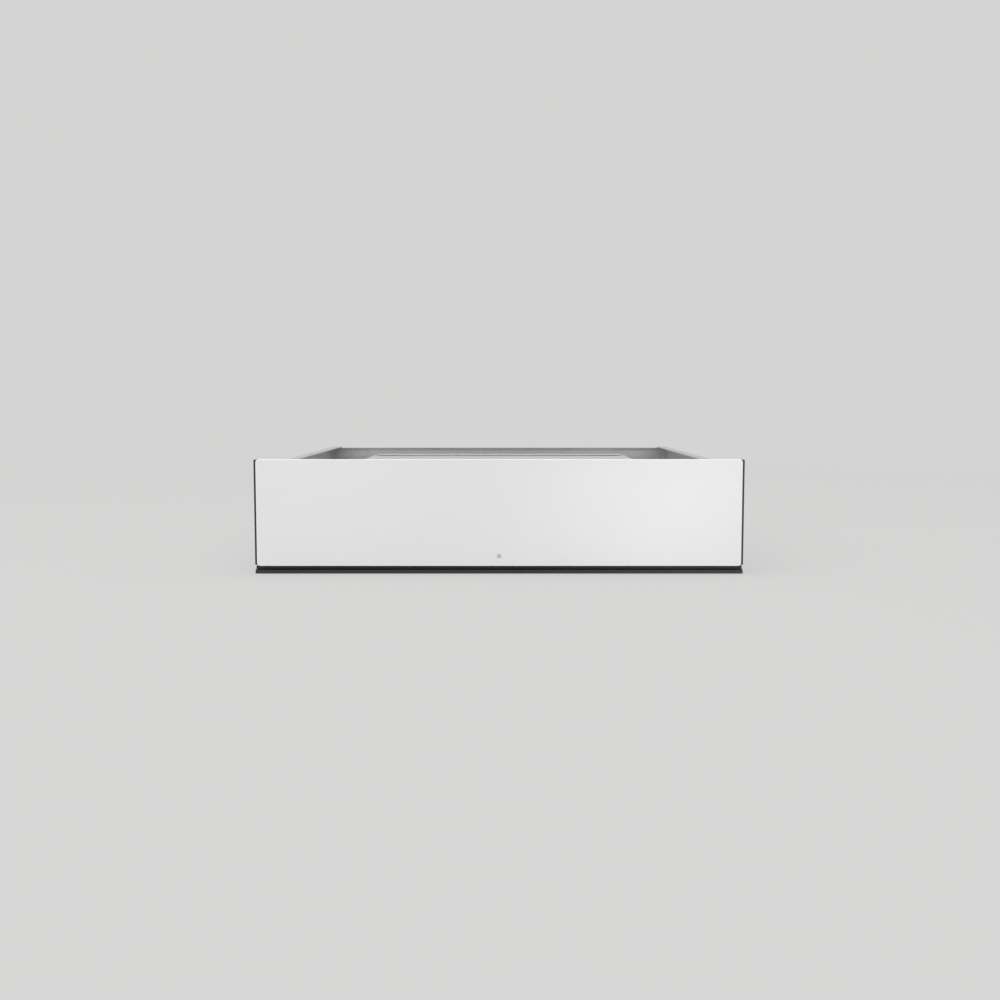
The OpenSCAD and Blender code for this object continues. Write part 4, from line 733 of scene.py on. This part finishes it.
def make_valve_block():
    block_h, coil_h, spigot_l = 26, 30, 12.3
    lo, hi = box_mm("valve_block")
    block_top = lo.z + block_h

    def material(c):
        if c.z > block_top + coil_h + NEAR:
            return 2
        if c.z > block_top + NEAR:
            return 1
        return 0 if lo.y + spigot_l < c.y < hi.y - spigot_l else 3

    refined("valve_block", 0.0006, pick=material,
            mats=["cast_alloy", "black_plastic", "bright_steel", "brass"])


def make_power_board():
    board_t, capacitor_h = 1.6, 25.9
    relays_end, capacitors_end, heat_sink_end = 44, 75.9, 115
    lo = box_mm("power_board")[0]
    top = lo.z + board_t

    def material(c):
        along = c.y - lo.y
        if c.z < top + 2 * NEAR:
            return 0
        if along < relays_end:
            return 1
        if along < capacitors_end:
            return 5 if c.z > top + capacitor_h else 2
        return 3 if along < heat_sink_end else 4

    refined("power_board", 0.0003, pick=material,
            mats=["board_green", "black_plastic", "capacitor_sleeve", "cast_alloy", "white_plastic",
                  "bright_steel"])


def make_control_board():
    spring_h, board_bottom, chip_half_w = 4.9, 6.62, 10
    top = box_mm("control_board")[1].z

    def material(c):
        if c.z > top - spring_h:
            return 1
        if c.z > top - board_bottom:
            return 0
        return 2 if abs(c.x) < chip_half_w else 3

    refined("control_board", 0.0002, pick=material,
            mats=["board_green", "bright_steel", "black_plastic", "white_plastic"])


def make_pump_shaft():
    shaft_r, cooling_wheel_end, armature_end = 6, -60, 45
    lo, hi = box_mm("pump_shaft")
    axis = (lo + hi) / 2

    def material(c):
        if math.hypot(c.y - axis.y, c.z - axis.z) < shaft_r:
            return 0
        if c.x < cooling_wheel_end:
            return 1
        return 2 if c.x < armature_end else 3

    refined("pump_shaft", 0.0003, pick=material,
            mats=["bright_steel", "black_plastic", "iron_sheets", "cast_alloy"])


make_seal_bar()
make_suction_cover()
make_latch_plunger()
make_valve_block()
make_power_board()
make_control_board()
make_pump_shaft()


def upright_loop(w, h, r, y, centre, steps=6):
    """A rounded rectangle that stands on a plane across Y."""
    return [Vector((p.x, y, p.y)) for p in rounded_loop(w, h, r, 0, centre, steps)]


def make_transformer():
    lo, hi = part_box("sealing_transformer")
    core_l, coil_l, flange = 0.032, 0.0116, 0.0012
    foot_t, bobbin_low, bobbin_high = 0.002, 0.015, 0.013
    middle_x, middle_y = (lo.x + hi.x) / 2, (lo.y + hi.y) / 2
    coil_w = (hi.x - lo.x) * 0.65
    z0, z1 = lo.z + bobbin_low, hi.z - bobbin_high

    def is_core(c):
        return abs(c.y / 1000 - middle_y) < core_l / 2 + 0.0001 or c.z / 1000 < lo.z + 2 * foot_t

    def coils(bm):
        centre = (middle_x, (z0 + z1) / 2)
        wire_h = z1 - z0 - 2 * flange
        for end in (-1, 1):
            inner = middle_y + end * (core_l / 2 + 0.0002)
            outer = inner + end * coil_l
            profile = ((0.001, inner), (0.001, outer - end * 0.0045), (0.004, outer - end * 0.0012),
                       (0.011, outer))
            loft(bm, [upright_loop(coil_w - narrower, wire_h, 0.002, y, centre) for narrower, y in profile],
                 mat=2)
            for z in (z0, z1 - flange):
                plate = (coil_w, coil_l, 0.0035)
                middle = (middle_x, (inner + outer) / 2)
                loft(bm, [rounded_loop(*plate, z, middle), rounded_loop(*plate, z + flange, middle)], mat=3)

    refined("sealing_transformer", 0.0004, keep=is_core, add=coils,
            mats=["iron_sheets", "galvanised_steel", "wire_layers", "white_plastic"],
            pick=lambda c: int(c.z / 1000 < lo.z + foot_t + 0.0001))


make_transformer()


def make_counter_bar():
    lo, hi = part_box("counter_bar")
    sheet, channel_h, nose_r, end_r, end_rise = 0.0012, 0.006, 0.0028, 0.0004, 0.0003
    channel_z, under_z = hi.z - channel_h, hi.z - sheet

    channel = [(lo.y, channel_z), (lo.y, hi.z), (hi.y, hi.z), (hi.y, channel_z), (hi.y - sheet, channel_z),
               (hi.y - sheet, under_z), (lo.y + sheet, under_z), (lo.y + sheet, channel_z)]
    bm = bmesh.new()
    loft(bm, [[Vector((x, y, z)) for y, z in channel] for x in (lo.x, hi.x)])
    face_out(bm)
    soften(bm, 0.0002)
    for face in bm.faces:
        face.material_index = 0

    middle = (lo.y + hi.y) / 2
    side = lo.y + sheet
    outline = [(side, under_z)]
    for i in range(9):
        a = math.radians(180 + 90 * i / 8)
        outline.append((side + nose_r + nose_r * math.cos(a), lo.z + nose_r + nose_r * math.sin(a)))
    outline += [(2 * middle - y, z) for y, z in reversed(outline)]
    inset = [(middle + (y - middle) * 0.93, z if z > channel_z else z + end_rise) for y, z in outline]
    ends = ((lo.x, inset), (lo.x + end_r, outline), (hi.x - end_r, outline), (hi.x, inset))
    loft(bm, [[Vector((x, y, z)) for y, z in ring] for x, ring in ends], mat=1)
    face_out(bm)
    new_object("counter_bar_in_channel", bm, ["bright_steel", "grey_silicone"], "lid",
               stands_for=("counter_bar",))


make_counter_bar()


# Small rubber pieces: a profile is a list of steps along the piece, each with its inset or radius
def make_slide_bumpers():
    lo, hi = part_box("slide_bumpers")
    w, h, corner_r = 0.010, hi.z - lo.z, 0.003
    profile = ((0, 0.0014), (0.0004, 0.0006), (0.0012, 0), (0.003, 0), (0.0034, 0.0006), (0.0046, 0.0006),
               (0.005, 0), (0.0076, 0), (0.008, 0.0004))
    bm = bmesh.new()
    for side in (-1, 1):
        centre = (side * (hi.x - w / 2), (lo.z + hi.z) / 2)
        loft(bm, [upright_loop(w - 2 * inset, h - 2 * inset, corner_r - inset, lo.y + step, centre)
                  for step, inset in profile])
    face_out(bm)
    new_object("slide_bumper_blocks", bm, ["black_rubber"], "carcass",
               stands_for=("slide_bumpers",))


def make_pump_mounts():
    lo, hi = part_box("pump_mounts")
    r = 0.006
    profile = [(0, 0.0052), (0.0003, 0.0058), (0.0006, r), (0.0013, r), (0.0018, 0.0054), (0.0032, 0.0054),
               (0.0037, r), (0.0044, r), (0.0047, 0.0058), (0.005, 0.0052)]
    bm = bmesh.new()
    for x in (lo.x + r, hi.x - r):
        for y in (lo.y + r, hi.y - r):
            turned(bm, (x, y, lo.z), (0, 0, 1), profile, 32)
    face_out(bm)
    new_object("pump_rubber_mounts", bm, ["black_rubber"], "drawer",
               stands_for=("pump_mounts",))


def make_lead_grommet():
    lo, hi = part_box("lead_grommet")
    profile = [(0, 0.0030), (0.0002, 0.0050), (0.0006, 0.0058), (0.001, 0.006), (0.002, 0.006),
               (0.0025, 0.0056), (0.0025, 0.0045), (0.0037, 0.0045), (0.0037, 0.0056), (0.0042, 0.006),
               (0.0052, 0.006), (0.0056, 0.0058), (0.006, 0.0050), (0.0062, 0.0030)]
    bm = bmesh.new()
    turned(bm, ((lo.x + hi.x) / 2, lo.y, (lo.z + hi.z) / 2), (0, 1, 0), profile, 36)
    face_out(bm)
    new_object("lead_rubber_grommet", bm, ["black_rubber"], "drawer",
               stands_for=("lead_grommet",))


make_slide_bumpers()
make_pump_mounts()
make_lead_grommet()


def screw_head(bm, centre, r, h, mat):
    """A low round screw head on a level face, with a socket."""
    turned(bm, centre, (0, 0, 1), [(0, r), (h * 0.5, r), (h * 0.85, r * 0.9), (h, r * 0.72), (h, r * 0.45),
                                   (h * 0.35, r * 0.42)], 24, mat)


# Terminal box: its lid with a raised rim and two screws
def make_terminal_box():
    lo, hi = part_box("terminal_box")
    w, l = hi.x - lo.x, hi.y - lo.y
    centre = ((lo.x + hi.x) / 2, (lo.y + hi.y) / 2)
    screw_inset = 0.009

    def lid(bm):
        out, panel, rim = 0.0004, hi.z + 0.0002, hi.z + 0.0006
        profile = ((hi.z - 0.0032, 0.0, 0.0022), (hi.z - 0.0030, -out, 0.0022), (panel, -out, 0.0022),
                   (rim, 0.0, 0.0022), (rim, 0.004, 0.002), (panel, 0.0046, 0.002))
        loft(bm, [rounded_loop(w - 2 * inset, l - 2 * inset, r, z, centre, 5) for z, inset, r in profile])
        for side in (-1, 1):
            place = (centre[0] + side * (w / 2 - screw_inset), centre[1] - side * (l / 2 - screw_inset),
                     panel)
            screw_head(bm, place, 0.0026, 0.0012, 1)

    refined("terminal_box", 0.0012, 3, mats=["grey_plastic", "bright_steel"], add=lid)


make_terminal_box()


# Push latch: a collar round the plunger, ribs on the housing and two screws through its foot
def make_latch():
    lo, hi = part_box("latch_body")
    axis = (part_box("latch_plunger")[0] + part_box("latch_plunger")[1]) / 2
    bore_r, collar_w, collar_t = 0.0052, 0.0022, 0.0006
    half_w, foot_top, rib, rib_w, screw_x = 0.010, lo.z + 0.005, 0.0004, 0.0016, 0.0141

    def details(bm):
        flat_ring(bm, (axis.x, axis.z), bore_r, bore_r + collar_w, 0, 360, lo.y, collar_t, 36)
        for side in (-1, 1):
            for share in (0.3, 0.5, 0.7):
                centre = (axis.x + side * half_w, lo.y + share * (hi.y - lo.y))
                loft(bm, [rounded_loop(2 * rib, rib_w, rib * 0.9, z, centre, 3)
                          for z in (foot_top, hi.z - 0.004)])
            screw_head(bm, (axis.x + side * screw_x, (lo.y + hi.y) / 2, foot_top), 0.0026, 0.0012, 1)

    refined("latch_body", 0.001, 3, mats=["grey_plastic", "bright_steel"], add=details)


make_latch()


# Lid: thick glass with a polished edge
def make_lid_glass():
    lo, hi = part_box("lid_glass")
    w, l = hi.x - lo.x, hi.y - lo.y
    centre = ((lo.x + hi.x) / 2, (lo.y + hi.y) / 2)
    corner_r, arris = 0.008, 0.0012

    def loop(inset, z):
        return rounded_loop(w - 2 * inset, l - 2 * inset, corner_r - inset, z, centre, 10)

    bm = bmesh.new()
    loft(bm, [loop(arris, lo.z), loop(arris * 0.3, lo.z + arris * 0.3), loop(0, lo.z + arris),
              loop(0, hi.z - arris), loop(arris * 0.3, hi.z - arris * 0.3), loop(arris, hi.z)], mat=1)
    paint_caps(bm, 0)
    face_out(bm)
    even_shading(new_object("lid_glass_plate", bm, ["clear_glass", "lid_edge"], "lid", sharp=35,
                            stands_for=("lid_glass",)), keep_sharp=False)


make_lid_glass()


# Lid seal: a band with a rounded lip under it, along a rounded loop
def make_lid_seal():
    lo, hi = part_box("lid_seal")
    w, l, h = hi.x - lo.x, hi.y - lo.y, hi.z - lo.z
    centre = ((lo.x + hi.x) / 2, (lo.y + hi.y) / 2)
    seal_w, corner_r, lip_w, lip_h = 0.008, 0.0405, 0.0032, 0.0014
    profile = [(0.0004, h), (0.0, h - 0.0004), (0.0, h - 0.0014), (0.0007, h - 0.0018), (0.0004, h - 0.0026)]
    foot = len(profile) - 1
    for i in range(9):
        a = math.radians(180 + 180 * i / 8)
        profile.append((seal_w / 2 + lip_w * math.cos(a), lip_h + lip_h * math.sin(a)))
    profile += [(seal_w - x, z) for x, z in profile[foot::-1]]
    rings = [rounded_loop(w - 2 * inset, l - 2 * inset, corner_r - inset, lo.z + z, centre, 12)
             for inset, z in profile]
    bm = bmesh.new()
    loft(bm, rings + rings[:1], cap_start=False, cap_end=False)
    bmesh.ops.remove_doubles(bm, verts=bm.verts, dist=1e-7)
    face_out(bm)
    new_object("lid_lip_seal", bm, ["grey_silicone"], "lid", sharp=50,
               stands_for=("lid_seal",))


make_lid_seal()


# Coiled lead between the terminal box and the drawer
def round_section(radius, sides, material):
    """A node group that gives a line of points a round section."""
    group = bpy.data.node_groups.new("round_section", "GeometryNodeTree")
    for way in ("INPUT", "OUTPUT"):
        group.interface.new_socket("Geometry", in_out=way, socket_type="NodeSocketGeometry")
    circle = group.nodes.new("GeometryNodeCurvePrimitiveCircle")
    circle.inputs["Resolution"].default_value = sides
    circle.inputs["Radius"].default_value = radius
    curve = group.nodes.new("GeometryNodeMeshToCurve")
    tube = group.nodes.new("GeometryNodeCurveToMesh")
    tube.inputs["Fill Caps"].default_value = True
    smooth = group.nodes.new("GeometryNodeSetShadeSmooth")
    paint = group.nodes.new("GeometryNodeSetMaterial")
    paint.inputs["Material"].default_value = material
    chain = [group.nodes.new("NodeGroupInput"), curve, tube, smooth, paint,
             group.nodes.new("NodeGroupOutput")]
    for a, b in zip(chain, chain[1:]):
        group.links.new(a.outputs[0], b.inputs[0])
    group.links.new(circle.outputs["Curve"], tube.inputs["Profile Curve"])
    return group


def make_coiled_lead():
    lead_r, coil_r, turns, ramp, pitch, stub = 0.0025, 0.0115, 16, 1.5, 0.0072, 0.004
    sheet, above_floor = 0.0012, 0.0003
    per_turn, bend_steps = 26, 12
    x0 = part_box("terminal_box")[1].x
    gap_y = (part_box("drawer_tray")[1].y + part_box("carcass_rear_wall")[1].y - sheet) / 2
    z = sheet + above_floor + coil_r + lead_r
    grommet = (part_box("lead_grommet")[0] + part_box("lead_grommet")[1]) / 2
    start = x0 + stub
    total = turns + 2 * ramp
    end = start + total * pitch
    path = [Vector((x0, gap_y, z)), Vector((x0 + stub / 2, gap_y, z))]
    for i in range(int(total * per_turn) + 1):
        turn = i / per_turn
        s = min(1.0, max(0.0, min(turn, total - turn) / ramp))
        r = coil_r * s * s * (3 - 2 * s)
        a = 2 * math.pi * turn
        path.append(Vector((start + turn * pitch, gap_y + r * math.sin(a), z - r * math.cos(a))))
    bend = grommet.x - end
    for i in range(1, bend_steps + 1):
        a = math.radians(90 * i / bend_steps)
        path.append(Vector((end + bend * math.sin(a), gap_y - bend * (1 - math.cos(a)),
                            z + (grommet.z - z) * (1 - math.cos(a)))))
    path.append(Vector((grommet.x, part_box("lead_grommet")[1].y, grommet.z)))
    bm = bmesh.new()
    line = [bm.verts.new(p) for p in path]
    for a, b in zip(line, line[1:]):
        bm.edges.new((a, b))
    obj = new_object("coiled_lead_curl", bm, ["black_rubber"], None,
                     stands_for=("coiled_lead",))
    obj.modifiers.new("round", "NODES").node_group = round_section(lead_r, 12, MATS["black_rubber"])
    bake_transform(obj)


make_coiled_lead()


# Hoses with their clips, and wires with their ties, along routes in mm
def make_vacuum_hoses():
    pump_hoses = [
        [(134, 102.2, 72), (134, 111.2, 72), (138, 126.5, 72), (140, 139.5, 71), (134, 152.5, 70.2),
         (125, 155.5, 70.2), (116, 155.5, 70.2)],
        [(110, 102.2, 46), (110, 111.2, 46), (120, 120.2, 46), (150, 123.2, 42), (192.9, 115, 34),
         (217.9, 81, 27.2), (220.9, 46, 26.2), (220.9, 37, 26.2)],
    ]
    lift_hoses = [
        [(220.9, -79, 26.2), (220.9, -87, 26.2), (204.9, -132.7, 17.8), (164.9, -166.7, 15.8),
         (129, -172.7, 15.8), (115, -172.7, 15.8)],
        [(105, -172.7, 15.8), (40, -172.7, 15.8), (-40, -172.7, 15.8), (-105, -172.7, 15.8)],
    ]
    pump_hose_r, lift_hose_r, clip_from_end = 0.0045, 0.0026, 0.0025
    clip = [(s, pump_hose_r + rise) for s, rise in
            ((0, 0), (0, 0.0004), (0.0003, 0.0006), (0.0032, 0.0006), (0.0035, 0.0004), (0.0035, 0))]
    bm = bmesh.new()
    for radius, routes in ((pump_hose_r, pump_hoses), (lift_hose_r, lift_hoses)):
        for points in routes:
            sweep(bm, catmull([mm(*p) for p in points], 8), radius, 16)
    for points in pump_hoses:
        for a, b in ((points[0], points[1]), (points[-1], points[-2])):
            axis = (mm(*b) - mm(*a)).normalized()
            turned(bm, mm(*a) + axis * clip_from_end, axis, clip, 24, 1)
    face_out(bm)
    new_object("vacuum_hose_runs", bm, ["grey_silicone", "bright_steel"], "drawer",
               stands_for=("vacuum_hoses",))


def make_wiring():
    wires = [
        [(-215.9, 63, 27.8), (-215.9, 56, 27.8), (-212.9, 41, 36.8), (-197.9, 17, 39.8), (-196.9, -33, 51.8),
         (-197.9, -125, 86.9), (-183.9, -181, 86.9), (-124, -219, 99.8), (-124, -226, 99.8)],
        [(-35.2, 212.3, 17.5), (-35.2, 206.3, 17.5), (-95.2, 202, 21.5), (-126, 179.5, 29.5),
         (-219.9, 135.5, 28.8), (-223.9, 81, 27.8), (-223.9, 73, 27.8)],
    ]
    loom_r, tie_r, tie_w = 0.0026, 0.0030, 0.0024
    tie = [(0, loom_r), (0, tie_r), (tie_w, tie_r), (tie_w, loom_r)]
    bm = bmesh.new()
    for points in wires:
        path = catmull([mm(*p) for p in points], 8)
        sweep(bm, path, loom_r, 14)
        for i in range(8, len(path) - 8, 9):
            axis = (path[i + 1] - path[i - 1]).normalized()
            turned(bm, path[i] - axis * tie_w / 2, axis, tie, 18, 1)
    face_out(bm)
    new_object("wiring_runs", bm, ["black_rubber", "white_plastic"], "drawer",
               stands_for=("wiring_harness",))


make_vacuum_hoses()
make_wiring()


# Printed marks of the touch strip: generic symbols, flat on the glass
def make_touch_strip_marks():
    lo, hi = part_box("control_glass")
    y = (lo.y + hi.y) / 2
    z = hi.z
    pitch, ink, sunk, line_w = 0.034, 0.00004, 0.00002, 0.0006

    def disc_ring(bm, x, inner, outer, a0=0, a1=360, steps=32):
        rows = []
        for i in range(steps + 1):
            a = math.radians(a0 + (a1 - a0) * i / steps)
            c, s = math.cos(a), math.sin(a)
            rows.append([Vector((x + r * c, y + r * s, zz)) for r, zz in
                         ((inner, z - sunk), (outer, z - sunk), (outer, z + ink), (inner, z + ink))])
        loft(bm, rows)

    def raised(bm, loop):
        loft(bm, [loop, [p + Vector((0, 0, ink + sunk)) for p in loop]])

    def bar(bm, x, dy, w, l):
        raised(bm, rounded_loop(w, l, min(w, l) * 0.45, z - sunk, (x, y + dy), 4))

    bm = bmesh.new()
    disc_ring(bm, -3 * pitch, 0.0030, 0.0035, 120, 420)
    bar(bm, -3 * pitch, 0.0030, 0.0005, 0.0034)
    dots, dot_pitch, dot_r = 3, 0.0045, 0.0015
    for i in range(dots):
        for k in range(dots):
            dot_inner = 0.0 if k <= i else 0.0010
            disc_ring(bm, (i - 2) * pitch + (k - 1) * dot_pitch, dot_inner, dot_r, steps=20)
    sign_l = 0.006
    bar(bm, pitch, 0, sign_l, line_w)
    bar(bm, 2 * pitch, 0, sign_l, line_w)
    bar(bm, 2 * pitch, 0, line_w, sign_l)
    disc_ring(bm, 3 * pitch, 0.0040, 0.0044)
    triangle_r = 0.0022
    raised(bm, [Vector((3 * pitch + triangle_r * math.cos(a), y + triangle_r * math.sin(a), z - sunk))
                for a in full_turn(3)])
    face_out(bm)
    new_object("touch_strip_marks", bm, ["icon_white"], "drawer", smooth=False)


make_touch_strip_marks()

# Stage and light, of one pale grey
PAPER = (0.66, 0.66, 0.655)


def make_stage():
    floor_z, floor_rings = -0.0003, (0.5, 2.0, 8.0, 60.0)
    bm = bmesh.new()
    loft(bm, [[Vector((r * math.cos(a), r * math.sin(a), floor_z)) for a in full_turn(64)]
              for r in floor_rings], cap_end=False)
    mesh = bpy.data.meshes.new("studio_floor")
    face_out(bm)
    if bm.faces[0].normal.z < 0:
        bmesh.ops.reverse_faces(bm, faces=bm.faces)
    bm.to_mesh(mesh)
    bm.free()
    floor = bpy.data.objects.new("studio_floor", mesh)
    mesh.polygons.foreach_set("use_smooth", [True] * len(mesh.polygons))
    bpy.context.scene.collection.objects.link(floor)

    # Seen directly, in a gloss or through glass, the floor turns into an even glow with distance from
    # its middle, which hides the horizon
    s = Surface("studio_paper")
    s.set(Base_Color=(*PAPER, 1), Roughness=0.9, Specular_IOR_Level=0.1)
    s.bump(s.noise(s.coords(), 900, 2.0), 0.05, 0.0001)
    path = s.add("ShaderNodeLightPath")
    glow = s.add("ShaderNodeEmission")
    glow.inputs["Color"].default_value = (*PAPER, 1)
    seen = s.math("MAXIMUM", path.outputs["Is Camera Ray"], path.outputs["Is Glossy Ray"])
    seen = s.math("MAXIMUM", seen, path.outputs["Is Transmission Ray"])
    mix = s.add("ShaderNodeMixShader")
    distance = s.add("ShaderNodeVectorMath", operation="LENGTH")
    s.link(s.coords(), distance.inputs[0])
    far = s.add("ShaderNodeMapRange", interpolation_type="SMOOTHSTEP")
    for socket, value in (("From Min", 0.6), ("From Max", 3.2), ("To Min", 0.7), ("To Max", 1.0)):
        far.inputs[socket].default_value = value
    s.link(distance.outputs["Value"], far.inputs["Value"])
    s.link(s.math("MULTIPLY", seen, far.outputs["Result"]), mix.inputs["Fac"])
    s.link(s.shader.outputs["BSDF"], mix.inputs[1])
    s.link(glow.outputs["Emission"], mix.inputs[2])
    s.link(mix.outputs["Shader"], s.nodes["Material Output"].inputs["Surface"])
    mesh.materials.append(s.mat)


def area_light(name, place, target, size, power, spread=180):
    data = bpy.data.lights.new(name, "AREA")
    data.shape = "RECTANGLE"
    data.size, data.size_y = size
    data.energy = power
    data.spread = math.radians(spread)
    light = bpy.data.objects.new(name, data)
    bpy.context.scene.collection.objects.link(light)
    light.location = place
    light.rotation_euler = (Vector(target) - Vector(place)).to_track_quat("-Z", "Y").to_euler()
    light.visible_camera = False


def make_light():
    world = bpy.data.worlds.new("studio")
    bpy.context.scene.world = world
    world.use_nodes = True
    background = world.node_tree.nodes["Background"]
    background.inputs["Color"].default_value = (*PAPER, 1)
    background.inputs["Strength"].default_value = 1.0
    area_light("key_softbox", (-0.9, -2.6, 2.2), (0, -0.2, 0.08), (8.0, 5.0), 94)
    area_light("strip_softbox", (0.95, -2.3, 0.11), (0.2, -0.275, 0.075), (0.05, 0.16), 0.0165, 10)
    area_light("top_softbox", (0.1, 0.6, 2.6), (0, 0.1, 0.1), (4.0, 3.0), 20)


make_stage()
make_light()
